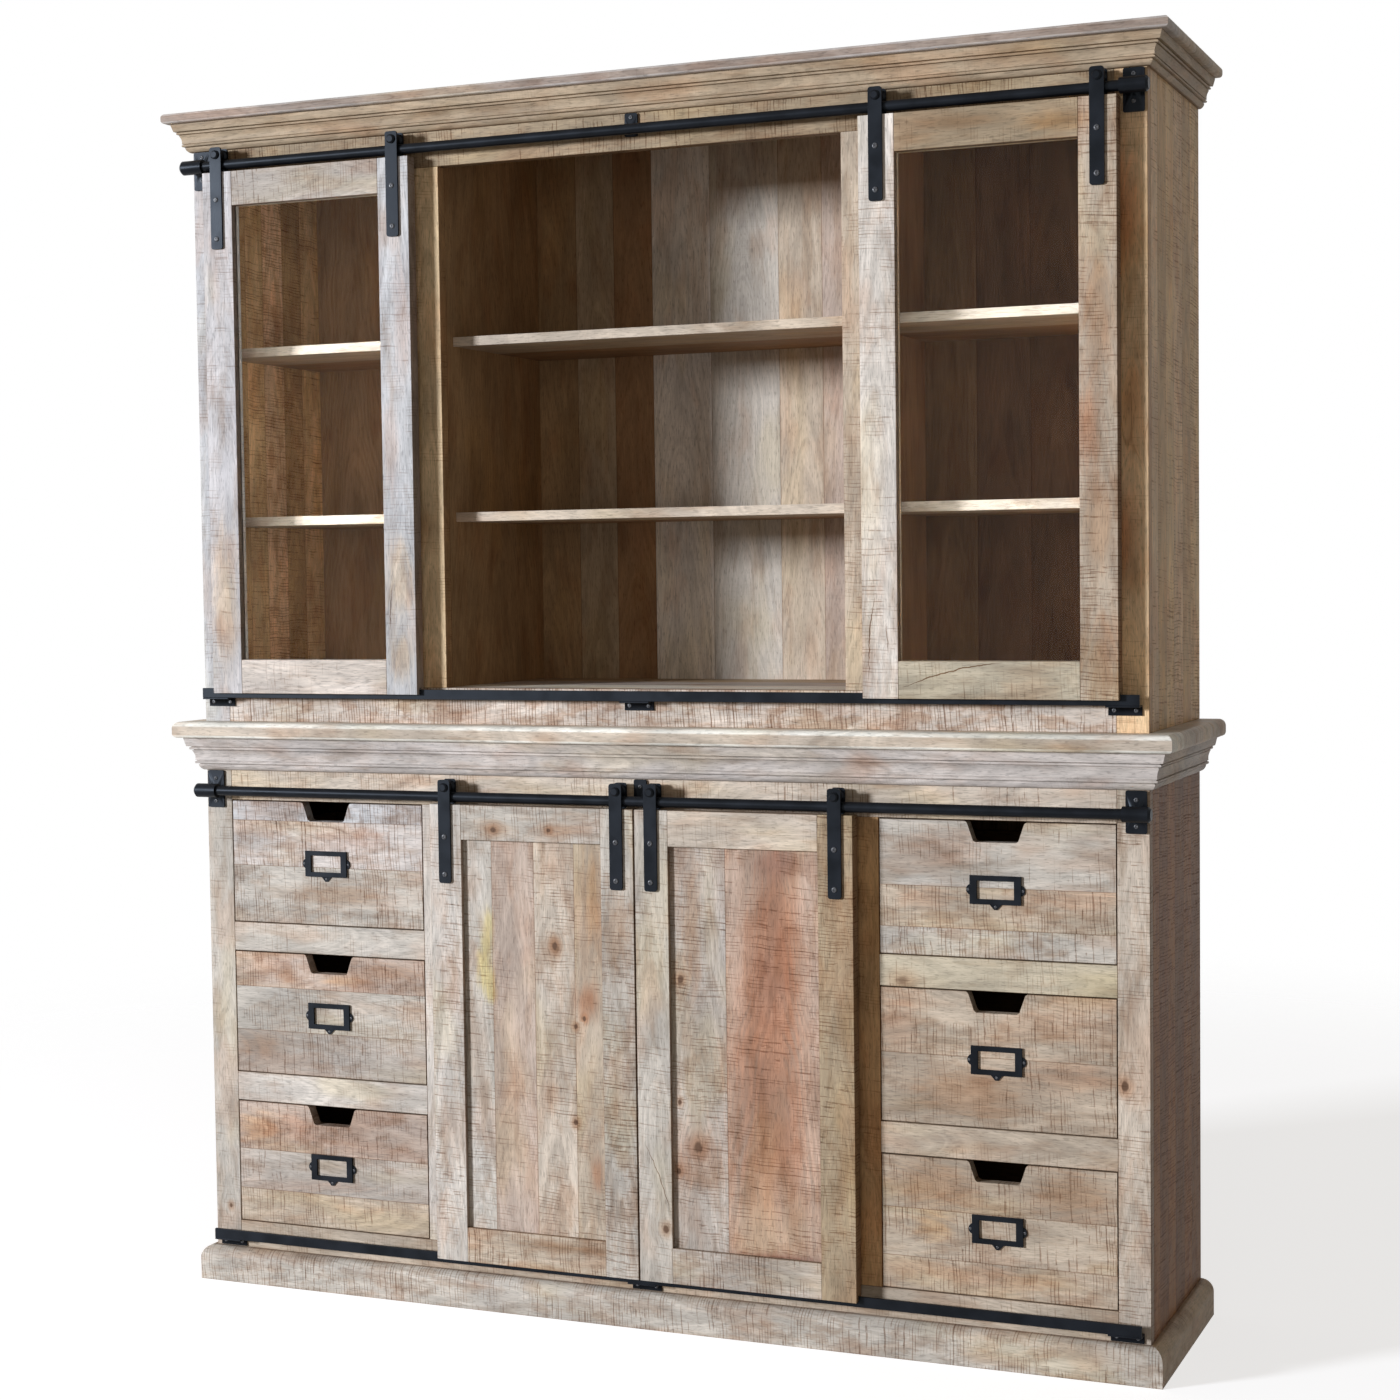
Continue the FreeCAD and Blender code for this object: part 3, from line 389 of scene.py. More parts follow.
def dress_wood(node, tones, saw=1.0, grain=None, strips=None, bevel=BOARD_EDGE,
               stains=(), knots=(), cracks=(), picks=(), dark=False):
    """Rebuilds a wooden node as softened boards.

    tones: tone names that the boards or strips take in turn.
    saw: how strong the saw marks are.
    grain: the axis of the fibres, or None for each board's longest side.
    strips: the axis across glued strips, and where one strip ends and the next begins, in millimetres.
    stains: (x, z, half width, half height, name) of coloured patches, in millimetres from the front.
    knots: (x, z, radius) of single knots, in millimetres from the front.
    cracks: (x, z, x, z, bow, width) from end to end, in millimetres from the front.
    picks: (x, z, tone, saw) for the single board that lies there, in millimetres from the front.
    dark: whether the wood is the browner one.
    """
    boards = Boards(stains, knots, cracks)
    for number, faces in enumerate(split_solids(frame["nodes"][node].data)):
        bm = solid_mesh(faces)
        low, high = extent(bm)
        along, across = grain_axes(high - low, grain, strips)
        soften(bm, bevel)
        inner = []
        if strips:
            inner = [line * MM for line in strips[1] if low[across] < line * MM < high[across]]
        for where in inner:
            cut(bm, across, where)
        if stains or knots or cracks:
            cut_grid(bm, low, high - low)
        edges = [low[across], *inner, high[across]]
        names, cuts = tones, saw
        chosen = picked_board(picks, low, high)
        if chosen:
            names, cuts = [chosen[0]], chosen[1]
        elif not strips:
            names = [tones[number % len(tones)]]
        boards.add(bm, along, across, edges, names, cuts, f"{node} {number}")
        bm.free()
    material, slot = (brown_wood, "brown_wood") if dark else (pale_wood, "pale_wood")
    place(boards.build(f"{node}_boards"), node, material, slot)


def dress_iron(node, bevel=IRON_EDGE):
    """Rebuilds an iron node with softened edges."""
    whole = bmesh.new()
    for faces in split_solids(frame["nodes"][node].data):
        bm = solid_mesh(faces)
        soften(bm, bevel)
        part = bpy.data.meshes.new("part")
        bm.to_mesh(part)
        whole.from_mesh(part)
        bpy.data.meshes.remove(part)
        bm.free()
    mesh = bpy.data.meshes.new(f"{node}_iron")
    whole.to_mesh(mesh)
    whole.free()
    place(finished(f"{node}_iron", mesh), node, black_iron, "black_iron")


# Shader building

NOISE_MIDDLE = 0.5


class Graph:
    """The nodes of a material or a world, with short calls for those it needs."""

    def __init__(self, owner, output="ShaderNodeOutputMaterial"):
        self.owner = owner
        owner.use_nodes = True
        self.nodes = owner.node_tree.nodes
        self.links = owner.node_tree.links
        self.nodes.clear()
        self.output = self.nodes.new(output)

    def node(self, kind, sockets=None, **settings):
        """A node with its settings, and its input sockets by name or number."""
        made = self.nodes.new(kind)
        for key, value in settings.items():
            setattr(made, key, value)
        for key, value in (sockets or {}).items():
            self.put(made.inputs[key], value)
        return made

    def put(self, socket, value):
        """Links a socket, or sets it where the value is a plain number or colour."""
        if isinstance(value, bpy.types.NodeSocket):
            self.links.new(value, socket)
        else:
            socket.default_value = value

    def attribute(self, name):
        return self.node("ShaderNodeAttribute", attribute_type="GEOMETRY", attribute_name=name)

    def object_place(self):
        return self.node("ShaderNodeTexCoord").outputs["Object"]

    def math(self, operation, a, b=0.0):
        return self.node("ShaderNodeMath", {0: a, 1: b}, operation=operation).outputs[0]

    def times(self, *values, clamp=False):
        """Product of several values, held between 0 and 1 where clamp is set."""
        product = values[0]
        for value in values[1:]:
            product = self.math("MULTIPLY", product, value)
        product.node.use_clamp = clamp
        return product

    def plus(self, value, other, factor):
        """A value plus another one times a factor."""
        return self.math("ADD", value, self.math("MULTIPLY", other, factor))

    def centred(self, noise):
        """A noise moved so that its middle is at 0."""
        return self.math("SUBTRACT", noise, NOISE_MIDDLE)

    def stretch(self, vector, factors, shift=(0.0, 0.0, 0.0)):
        sockets = {0: vector, 1: factors, 2: shift}
        return self.node("ShaderNodeVectorMath", sockets, operation="MULTIPLY_ADD").outputs[0]

    def split(self, vector):
        return self.node("ShaderNodeSeparateXYZ", {0: vector}).outputs

    def noise(self, vector, length, width, shift=0.0, detail=2.0, roughness=0.5):
        """Noise whose features have a length along the first axis and a width, in millimetres."""
        factors = (1.0 / (length * MM), 1.0 / (width * MM), 1.0 / (width * MM))
        place = self.stretch(vector, factors, (shift, shift, shift))
        sockets = {"Vector": place, "Scale": 1.0, "Detail": detail, "Roughness": roughness}
        return self.node("ShaderNodeTexNoise", sockets, noise_dimensions="3D").outputs["Fac"]

    def line_noise(self, value, scale, detail=1.0):
        """Noise along one line of values."""
        sockets = {"W": value, "Scale": scale, "Detail": detail}
        return self.node("ShaderNodeTexNoise", sockets, noise_dimensions="1D").outputs["Fac"]

    def ranged(self, value, low, high, to_low=0.0, to_high=1.0):
        """Maps one span of values smoothly to another."""
        sockets = {"Value": value, "From Min": low, "From Max": high, "To Min": to_low, "To Max": to_high}
        return self.node("ShaderNodeMapRange", sockets, interpolation_type="SMOOTHSTEP").outputs["Result"]

    def mix(self, factor, a, b, blend="MIX"):
        settings = {"data_type": "RGBA", "blend_type": blend, "clamp_factor": True}
        return self.node("ShaderNodeMix", {"Factor": factor, 6: a, 7: b}, **settings).outputs[2]

    def scale_colour(self, colour, factor):
        return self.node("ShaderNodeVectorMath", {0: colour, "Scale": factor}, operation="SCALE").outputs[0]

    def bump(self, height, distance, strength):
        sockets = {"Strength": strength, "Distance": distance, "Height": height}
        return self.node("ShaderNodeBump", sockets).outputs["Normal"]

    def principled(self, **sockets):
        named = {title.replace("_", " "): value for title, value in sockets.items()}
        return self.node("ShaderNodeBsdfPrincipled", named).outputs[0]

    def mix_shaders(self, factor, first, second):
        return self.node("ShaderNodeMixShader", {0: factor, 1: first, 2: second}).outputs[0]

    def seen(self):
        """1 to the camera, in reflections and through glass, and 0 to the light that falls on things."""
        path = self.node("ShaderNodeLightPath")
        seen = self.math("MAXIMUM", path.outputs["Is Camera Ray"], path.outputs["Is Glossy Ray"])
        return self.math("MAXIMUM", seen, path.outputs["Is Transmission Ray"])

    def finish(self, shader):
        self.links.new(shader, self.output.inputs["Surface"])
        return self.owner


# Wood

# Noise fields: length along the grain and width in millimetres, shift, detail and roughness
FIELDS = {
    "drift": (210, 70, 3.0, 4.0, 0.6),
    "fibre": (44, 2.4, 7.0, 4.0, 0.75),
    "warp": (380, 130, 11.0, 2.0),
    "pores": (14, 2.0, 17.0, 1.0),
    "rosy": (150, 65, 23.0, 3.0),
    "smoke": (140, 30, 29.0, 3.0, 0.6),
    "cool": (250, 90, 31.0, 2.0),
    "straw": (290, 100, 37.0, 2.0),
    "sway": (150, 60, 41.0, 1.0),
    "comb": (120, 70, 43.0, 2.0),
    "kerfs": (170, 110, 47.0, 2.0),
    "fray": (9, 45, 53.0, 3.0, 0.65),
    "gate": (7, 30, 59.0, 3.0, 0.7),
    "hair": (620, 33, 61.0, 1.0),
    "rare": (330, 110, 67.0, 1.0),
    "ragged": (14, 14, 71.0, 2.0),
    "burn": (40, 24, 73.0, 3.0, 0.6),
}

# Lightness: the span of noise over which it changes, and how much darker and lighter it gets
DRIFT_SHADE = (0.36, 0.64, 0.17, 0.13)
FIBRE_SHADE = (0.38, 0.62, 0.11, 0.08)
BAND_SHADE = (0.36, 0.64, 0.10, 0.065)

# In what follows, each SPAN is a span of values, and what it is mapped to where that isn't 0 to 1
PORE_SPAN = (0.57, 0.68, 1.0, 0.74)

# Growth rings: depth of the pith under a board, rings to the metre, taper of the trunk, bends and tilt
PITH_DEPTH = 16.0 * MM
RING_RATE = 135.0
TAPER = 0.12
RING_WARP = 13.0
RING_TILT = 40.0
RING_SCALE = 1.0
RING_DETAIL = 3.0

# Coloured patches: field, where they begin and where they are full, strength and tint
PATCHES = (
    ("rosy", 0.50, 0.68, 0.6, (0.92, 0.77, 0.68, 1.0)),
    ("cool", 0.52, 0.70, 0.35, (0.86, 0.88, 0.93, 1.0)),
    ("smoke", 0.50, 0.70, 0.7, (0.76, 0.685, 0.62, 1.0)),
    ("straw", 0.52, 0.70, 0.6, (1.04, 0.98, 0.80, 1.0)),
)

# Placed stains: how much drifts, bands and fibres fray their edges
STAIN_BY_DRIFT = 0.9
STAIN_BY_BANDS = 0.6
STAIN_BY_FIBRE = 0.5
SOAK_SPAN = (0.05, 0.95)
STAINED_SPAN = (0.0, 0.35)

# Knots, with distances in knot radii, and small pips scattered in cells
KNOT_PULL_FALL = -0.09
KNOT_PULL = -0.85
KNOT_RAGGED = 1.1
HALO_SPAN = (0.8, 3.2, 0.85, 0.0)
HALO_TINT = (0.80, 0.62, 0.50, 1.0)
CORE_SPAN = (0.55, 1.15, 0.92, 0.0)
CORE_COLOUR = (0.11, 0.06, 0.036, 1.0)
PIP_CELLS = (4.6, 7.0, 7.0)
PIP_RAGGED = 0.07
PIP_PICK_SPAN = (0.76, 0.78)
PIP_RING_SPAN = (0.07, 0.26, 0.6, 0.0)
PIP_RING_TINT = (0.76, 0.56, 0.43, 1.0)
PIP_SPAN = (0.06, 0.115, 0.8, 0.0)
PIP_COLOUR = (0.15, 0.085, 0.05, 1.0)

# Saw marks: slant and sway of the saw, groups of regular lines, scorched patches and longer single cuts
SAW_SLANT = 0.04
SAW_SWAY = 0.009
SAW_LIFT = 0.10
SAW_TINT = (0.46, 0.35, 0.29, 1.0)
COMB_TURN = 2.0 * math.pi / (5.6 * MM)
COMB_STRAY_SCALE = 9.0
COMB_STRAY = 14.0
COMB_SPAN = (0.45, 1.0)
COMB_PATCH_SPAN = (0.55, 0.64)
COMB_STRENGTH = 0.8
UNEVEN_SCALE = 140.0
UNEVEN_SPAN = (0.36, 0.58, 0.08, 1.0)
FRAY_SPAN = (0.38, 0.58, 0.05, 1.0)
BURN_SPAN = (0.44, 0.62, 0.0, 0.45)
BURN_TINT = (0.76, 0.66, 0.59, 1.0)
KERF_SCALE = 230.0
KERF_SPAN = (0.60, 0.645)
KERF_PATCH_SPAN = (0.55, 0.67)
KERF_STRENGTH = 0.7
GATE_SPAN = (0.46, 0.58)

# Cracks and glue lines, with widths in metres
HAIR_SPAN = (0.0, 0.006, 1.0, 0.0)
RARE_SPAN = (0.61, 0.69, 0.0, 0.45)
CRACK_RAGGED = 0.006
CRACK_EDGE_SPAN = (-0.0003, 0.0003, 1.0, 0.0)
CRACK_LEAST = 0.00005
CRACK_TINT = (0.34, 0.23, 0.16, 1.0)
GLUE_SPAN = (0.0002, 0.0012, 0.7, 0.0)
GLUE_TINT = (0.46, 0.35, 0.27, 1.0)

# Surface: what roughens it, and how high or deep each layer is as a share of the bump
ROUGH_BY_SAW = 0.3
ROUGH_FROM = (0.3, 0.9)
ROUGH_GAIN = 0.20
FIBRE_HEIGHT = 0.35
KERF_DEPTH = -0.55
COMB_DEPTH = -0.25
CRACK_DEPTH = -0.8
GLUE_DEPTH = -0.5
WOOD_BUMP = 0.0006
WOOD_BUMP_STRENGTH = 0.55
WOOD_SPECULAR = 0.08


class Wood(Graph):
    """Plain-sawn fruitwood, made layer by layer."""

    def __init__(self, name, contrast, saw_depth):
        super().__init__(bpy.data.materials.new(name))
        self.contrast = contrast
        self.saw_depth = saw_depth
        self.flat = self.attribute("grain").outputs["Vector"]
        self.left, self.right, self.marks = self.split(self.attribute("seam").outputs["Vector"])

    def field(self, name, vector):
        return self.noise(vector, *FIELDS[name])

    def shade(self, noise, low, high, darker, lighter):
        """Lightness that follows a noise, more so in wood of more contrast."""
        return self.ranged(noise, low, high, 1.0 - darker * self.contrast, 1.0 + lighter * self.contrast)

    def tint(self, factor, colour):
        """Multiplies the wood's colour so far by another one."""
        self.colour = self.mix(factor, self.colour, colour, "MULTIPLY")

    def bend_grain(self):
        """The grain flows round the placed knots."""
        along, across, radius = self.split(self.attribute("knot").outputs["Vector"])
        self.near = self.math("ADD", self.times(along, along), self.times(across, across))
        pull = self.math("EXPONENT", self.times(self.near, KNOT_PULL_FALL))
        self.bulge = self.times(across, radius, pull, KNOT_PULL)
        bent = self.node("ShaderNodeCombineXYZ", {"Y": self.bulge}).outputs[0]
        self.grain = self.node("ShaderNodeVectorMath", {0: self.flat, 1: bent}, operation="ADD").outputs[0]

    def growth_bands(self):
        """Rings round a pith that lies under the middle of each strip."""
        place = self.split(self.grain)
        aside = self.plus(self.bulge, self.math("SUBTRACT", self.left, self.right), 0.5)
        from_pith = self.math("SQRT", self.math("ADD", self.times(aside, aside), PITH_DEPTH ** 2))
        rings = self.plus(self.times(from_pith, RING_RATE), self.field("warp", self.grain), RING_WARP)
        rings = self.plus(rings, place["X"], RING_RATE * TAPER)
        rings = self.plus(rings, place["Z"], RING_TILT)
        return self.line_noise(rings, RING_SCALE, RING_DETAIL)

    def add_tone(self):
        """The strip's own tone, with lighter and darker drifts, fibres, growth bands and pores."""
        self.drift = self.field("drift", self.grain)
        self.fibre = self.field("fibre", self.grain)
        self.bands = self.growth_bands()
        pores = self.ranged(self.field("pores", self.grain), *PORE_SPAN)
        value = self.times(self.shade(self.drift, *DRIFT_SHADE), self.shade(self.fibre, *FIBRE_SHADE),
                           self.shade(self.bands, *BAND_SHADE), pores)
        self.colour = self.scale_colour(self.attribute("tone").outputs["Color"], value)

    def add_patches(self):
        """Rosy, grey, smoky and straw-coloured patches."""
        for field, low, high, strength, tint in PATCHES:
            patch = self.ranged(self.field(field, self.grain), low, high, 0.0, strength * self.contrast)
            self.tint(patch, tint)

    def add_stains(self):
        """Stains placed one by one, with edges that follow the grain."""
        stain = self.attribute("stain")
        soak = self.plus(stain.outputs["Alpha"], self.centred(self.drift), STAIN_BY_DRIFT)
        soak = self.plus(soak, self.centred(self.bands), STAIN_BY_BANDS)
        soak = self.plus(soak, self.centred(self.fibre), STAIN_BY_FIBRE)
        inside = self.ranged(stain.outputs["Alpha"], *STAINED_SPAN)
        self.tint(self.times(self.ranged(soak, *SOAK_SPAN), inside), stain.outputs["Color"])

    def add_knots(self):
        """Knots placed one by one."""
        reach = self.plus(self.math("SQRT", self.near), self.centred(self.fibre), KNOT_RAGGED)
        self.tint(self.ranged(reach, *HALO_SPAN), HALO_TINT)
        self.colour = self.mix(self.ranged(reach, *CORE_SPAN), self.colour, CORE_COLOUR)

    def add_pips(self):
        """A few small knots more, in some of the cells that the wood is divided into."""
        sockets = {"Vector": self.stretch(self.grain, PIP_CELLS), "Scale": 1.0}
        cells = self.node("ShaderNodeTexVoronoi", sockets, voronoi_dimensions="3D", feature="F1")
        spread = self.plus(cells.outputs["Distance"], self.fibre, PIP_RAGGED)
        picked = self.ranged(self.split(cells.outputs["Color"])["X"], *PIP_PICK_SPAN)
        self.tint(self.times(picked, self.ranged(spread, *PIP_RING_SPAN)), PIP_RING_TINT)
        pip = self.times(picked, self.ranged(spread, *PIP_SPAN))
        self.colour = self.mix(pip, self.colour, PIP_COLOUR)

    def saw_place(self):
        """Place along the board, which slants and sways as the saw did."""
        parts = self.split(self.flat)
        place = self.plus(parts["X"], parts["Y"], SAW_SLANT)
        return self.plus(place, self.field("sway", self.flat), SAW_SWAY)

    def add_saw_marks(self):
        """Groups of fine regular lines across the grain, and longer single cuts."""
        place = self.saw_place()
        lift = self.times(self.marks, SAW_LIFT)
        group = self.ranged(self.math("ADD", self.field("comb", self.flat), lift), *COMB_PATCH_SPAN)
        burn = self.ranged(self.field("burn", self.flat), *BURN_SPAN)
        self.tint(self.times(burn, group, self.marks, self.saw_depth, clamp=True), BURN_TINT)

        turn = self.plus(self.times(place, COMB_TURN), self.line_noise(place, COMB_STRAY_SCALE), COMB_STRAY)
        teeth = self.ranged(self.math("SINE", turn), *COMB_SPAN)
        uneven = self.ranged(self.line_noise(place, UNEVEN_SCALE), *UNEVEN_SPAN)
        fray = self.ranged(self.field("fray", self.flat), *FRAY_SPAN)
        self.comb = self.times(teeth, uneven, group, fray, self.marks, clamp=True)
        self.tint(self.times(self.comb, COMB_STRENGTH * self.saw_depth), SAW_TINT)

        kerfs = self.ranged(self.line_noise(place, KERF_SCALE), *KERF_SPAN)
        patch = self.ranged(self.math("ADD", self.field("kerfs", self.flat), lift), *KERF_PATCH_SPAN)
        gate = self.ranged(self.field("gate", self.flat), *GATE_SPAN)
        self.kerfs = self.times(kerfs, patch, gate, self.marks, clamp=True)
        self.tint(self.times(self.kerfs, KERF_STRENGTH * self.saw_depth), SAW_TINT)

    def add_cracks(self):
        """Hair cracks along the grain, and the listed cracks."""
        off_hair = self.math("ABSOLUTE", self.centred(self.field("hair", self.grain)))
        rare = self.ranged(self.field("rare", self.grain), *RARE_SPAN)
        hair = self.times(self.ranged(off_hair, *HAIR_SPAN), rare)
        off, share, half = self.split(self.attribute("crack").outputs["Vector"])
        ragged = self.centred(self.field("ragged", self.flat))
        off = self.math("ABSOLUTE", self.plus(off, ragged, CRACK_RAGGED))
        open_half = self.times(half, self.math("SUBTRACT", 1.0, self.times(share, share)))
        gap = self.ranged(self.math("SUBTRACT", off, open_half), *CRACK_EDGE_SPAN)
        gap = self.times(gap, self.math("GREATER_THAN", open_half, CRACK_LEAST))
        self.crack = self.math("MAXIMUM", hair, gap)
        self.tint(self.crack, CRACK_TINT)

    def add_glue_lines(self):
        """Dark lines where strips meet, and grimy edges."""
        self.glue = self.ranged(self.math("MINIMUM", self.left, self.right), *GLUE_SPAN)
        self.tint(self.glue, GLUE_TINT)

    def surface(self, rough):
        """A dry surface in which fibres, saw marks, cracks and glue lines can be felt."""
        worn = self.plus(self.fibre, self.math("ADD", self.kerfs, self.comb), ROUGH_BY_SAW)
        roughness = self.ranged(worn, *ROUGH_FROM, rough, rough + ROUGH_GAIN)
        height = self.times(self.fibre, FIBRE_HEIGHT)
        height = self.plus(height, self.kerfs, KERF_DEPTH)
        height = self.plus(height, self.comb, COMB_DEPTH)
        height = self.plus(height, self.crack, CRACK_DEPTH)
        height = self.plus(height, self.glue, GLUE_DEPTH)
        normal = self.bump(height, WOOD_BUMP, WOOD_BUMP_STRENGTH)
        return self.finish(self.principled(Base_Color=self.colour, Roughness=roughness, Normal=normal,
                                           Specular_IOR_Level=WOOD_SPECULAR))


def make_wood(name, contrast, saw_depth, rough):
    """Wood with its layers in the order in which they lie over each other."""
    wood = Wood(name, contrast, saw_depth)
    wood.bend_grain()
    wood.add_tone()
    wood.add_patches()
    wood.add_stains()
    wood.add_knots()
    wood.add_pips()
    wood.add_saw_marks()
    wood.add_cracks()
    wood.add_glue_lines()
    return wood.surface(rough)


# Iron, screws and glass, with noise fields and spans as for the wood

IRON_CLOUD = (45, 45, 2.0, 3.0)
IRON_PEBBLE = (0.53, 0.53, 5.0, 1.0)
IRON_CLOUD_SPAN = (0.3, 0.7)
IRON_DARK = (0.003, 0.0034, 0.0045, 1.0)
IRON_LIGHT = (0.006, 0.0068, 0.009, 1.0)
IRON_ROUGH_SPAN = (0.3, 0.7, 0.32, 0.46)
IRON_BUMP = 0.00006
IRON_BUMP_STRENGTH = 0.5
IRON_SPECULAR = 0.13
# Bluish tint of the iron's reflections, which paints the cool light of a window.
IRON_SPECULAR_TINT = (0.78, 0.88, 1.0, 1.0)
STEEL_SCUFF = (1.4, 1.4, 3.0, 2.0)
STEEL_SCUFF_SPAN = (0.4, 0.65)
STEEL_DARK = (0.03, 0.03, 0.033, 1.0)
STEEL_LIGHT = (0.09, 0.09, 0.095, 1.0)
STEEL_ROUGH_SPAN = (0.35, 0.65, 0.24, 0.42)
STEEL_SPECULAR = 0.4
GLASS_SMEAR = (330, 250, 1.0, 2.0)
GLASS_ROUGH_SPAN = (0.35, 0.75, 0.0, 0.02)
GLASS_COLOUR = (0.97, 0.985, 0.98, 1.0)
GLASS_IOR = 1.16


def make_iron(name):
    """Black powder coat with a fine pebble, slightly rubbed patches, and reflections tinted blue that paint
    a window's cool light.
    """
    g = Graph(bpy.data.materials.new(name))
    spot = g.object_place()
    cloud = g.noise(spot, *IRON_CLOUD)
    colour = g.mix(g.ranged(cloud, *IRON_CLOUD_SPAN), IRON_DARK, IRON_LIGHT)
    roughness = g.ranged(cloud, *IRON_ROUGH_SPAN)
    normal = g.bump(g.noise(spot, *IRON_PEBBLE), IRON_BUMP, IRON_BUMP_STRENGTH)
    return g.finish(g.principled(Base_Color=colour, Roughness=roughness, Normal=normal,
                                 Specular_IOR_Level=IRON_SPECULAR, Specular_Tint=IRON_SPECULAR_TINT))


def make_screw(name):
    """Blackened steel, a little brighter than the coat round it."""
    g = Graph(bpy.data.materials.new(name))
    scuff = g.noise(g.object_place(), *STEEL_SCUFF)
    colour = g.mix(g.ranged(scuff, *STEEL_SCUFF_SPAN), STEEL_DARK, STEEL_LIGHT)
    roughness = g.ranged(scuff, *STEEL_ROUGH_SPAN)
    return g.finish(g.principled(Base_Color=colour, Roughness=roughness, Specular_IOR_Level=STEEL_SPECULAR))


def make_glass(name):
    """Clear window glass that lets the lamps through."""
    g = Graph(bpy.data.materials.new(name))
    smear = g.noise(g.object_place(), *GLASS_SMEAR)
    pane = g.principled(Base_Color=GLASS_COLOUR, Roughness=g.ranged(smear, *GLASS_ROUGH_SPAN), IOR=GLASS_IOR,
                        Transmission_Weight=1.0)
    clear = g.node("ShaderNodeBsdfTransparent").outputs[0]
    shadow = g.node("ShaderNodeLightPath").outputs["Is Shadow Ray"]
    return g.finish(g.mix_shaders(shadow, pane, clear))


pale_wood = make_wood("pale_wood_finish", contrast=1.0, saw_depth=1.0, rough=0.44)
brown_wood = make_wood("brown_wood_finish", contrast=0.9, saw_depth=0.5, rough=0.48)
black_iron = make_iron("black_iron_finish")
screw_black = make_screw("screw_black_finish")
clear_glass = make_glass("clear_glass_finish")


# Glued strips: the axis across them, and where one ends and the next begins, in millimetres

SIDE_STRIPS = ("y", (-112, -48, 12, 84, 150))
DEEP_STRIPS = ("y", (-40, 90))
TOP_STRIPS = ("y", (-130, 0, 110))
SHELF_STRIPS = ("y", (-132, 40))
BUFFET_BACK_STRIPS = ("x", (-700, -530, -310, -120, 60, 250, 460, 650))
HUTCH_BACK_STRIPS = ("x", (-730, -590, -440, -300, -220, -140, -20, 118, 204, 290, 400, 500, 600, 700))
# Besides the boards' own tones, the umber and dark strips at the right paint the shade in the right bay, and
# the pale strip just left of the middle paints light on a board in the shadow of the left door and
# partition.
HUTCH_BACK_TONES = ("brown", "amber", "brown", "amber", "tan", "brown", "lit_chalk", "linen",
                    "beige", "pink", "grey", "umber", "dark", "dark", "umber")
INSIDE_TONES = ("brown", "umber", "brown")
BUFFET_BACK_TONES = ("brown", "umber", "brown", "brown", "umber")
DRAWER_BOX_TONES = ("brown", "brown", "umber", "brown")


# The buffet

dress_wood("plinth", ("linen", "tan", "tan"), saw=1.2, bevel=MOULDING_EDGE)
# The buffet's sides are toned very dark, which paints the shade they lie in.
dress_wood("buffet_sides", ("shaded_cocoa", "shaded_peat"), saw=1.8, grain="z", strips=SIDE_STRIPS)
dress_wood("buffet_face_frame", ("beige", "cream"), saw=0.8, picks=(
    (-860, 500, "linen", 0.6), (860, 500, "cream", 1.0), (-420, 500, "white", 0.7),
    # The inner stile right of the right door takes a deep orange brown that paints the shade the door casts
    # on it.
    (420, 500, "shaded_copper", 0.5), (642, 659, "straw", 0.8), (642, 373, "beige", 0.8),
    (-642, 659, "linen", 0.6), (-642, 373, "white", 0.6)),
    knots=((858, 488, 7), (-868, 140, 4)))
dress_wood("buffet_partitions", ("brown",), saw=0.2, dark=True)
dress_wood("buffet_floor", INSIDE_TONES, saw=0.3, grain="x", strips=DEEP_STRIPS, dark=True)
dress_wood("buffet_back", BUFFET_BACK_TONES, saw=0.3, grain="z", strips=BUFFET_BACK_STRIPS, dark=True)
dress_wood("buffet_shelf", INSIDE_TONES, saw=0.3, grain="x", strips=DEEP_STRIPS, dark=True)
dress_wood("buffet_top", ("ivory", "cream", "cream", "beige"), saw=0.15, grain="x", strips=TOP_STRIPS,
           bevel=MOULDING_EDGE)
dress_wood("buffet_cornice", ("ash", "ash", "tan"), saw=0.25, bevel=MOULDING_EDGE)
dress_wood("drawer_runners", ("brown", "umber"), saw=0.2, dark=True)


# The hutch

# The hutch's sides are toned lighter and more golden than the front's wood, which paints light into the
# shade they lie in.
dress_wood("hutch_sides", ("lit_wheat", "lit_oak", "lit_gold"), saw=1.6, grain="z", strips=SIDE_STRIPS)
dress_wood("hutch_face_frame", ("cream", "beige"), saw=1.2, picks=(
    # The left outer stile's bluish grey paints a window's sheen, and the right outer stile's light golden
    # tone paints light on it where the right door shades it.
    (-860, 1500, "sheen_silver", 0.6), (860, 1500, "lit_wheat", 0.8), (-425, 1500, "sand", 0.6),
    # The top rail round the rod is toned darker, partly to paint the rod's shadow on it.
    (425, 1500, "beige", 0.8), (0, 1095, "blush", 1.9), (0, 2100, "drab", 1.2)),
    stains=((860, 1900, 22, 90, "rust"), (872, 1600, 14, 80, "brown"), (858, 1380, 20, 60, "rust")))
dress_wood("hutch_partitions", ("amber", "brown"), saw=0.2, dark=True)
dress_wood("hutch_floor", ("ivory", "ash", "tan"), saw=0.2, grain="x", strips=DEEP_STRIPS, dark=True)
dress_wood("hutch_back", HUTCH_BACK_TONES, saw=0.2, grain="z", strips=HUTCH_BACK_STRIPS, dark=True)
dress_wood("hutch_top", ("ash", "beige", "tan", "beige"), saw=0.15, grain="x", strips=TOP_STRIPS,
           bevel=MOULDING_EDGE)
dress_wood("hutch_cornice", ("tan",), saw=0.25, bevel=MOULDING_EDGE)
# The shelves' front strip is the lightest, which paints light on their lit front edges; the strips behind it
# grow darker towards the back.
dress_wood("hutch_shelves", ("ivory", "tan", "brown"), saw=0.15, grain="x", strips=SHELF_STRIPS)


# The drawers: where the strips of each front meet, their tones from the bottom up, and stains

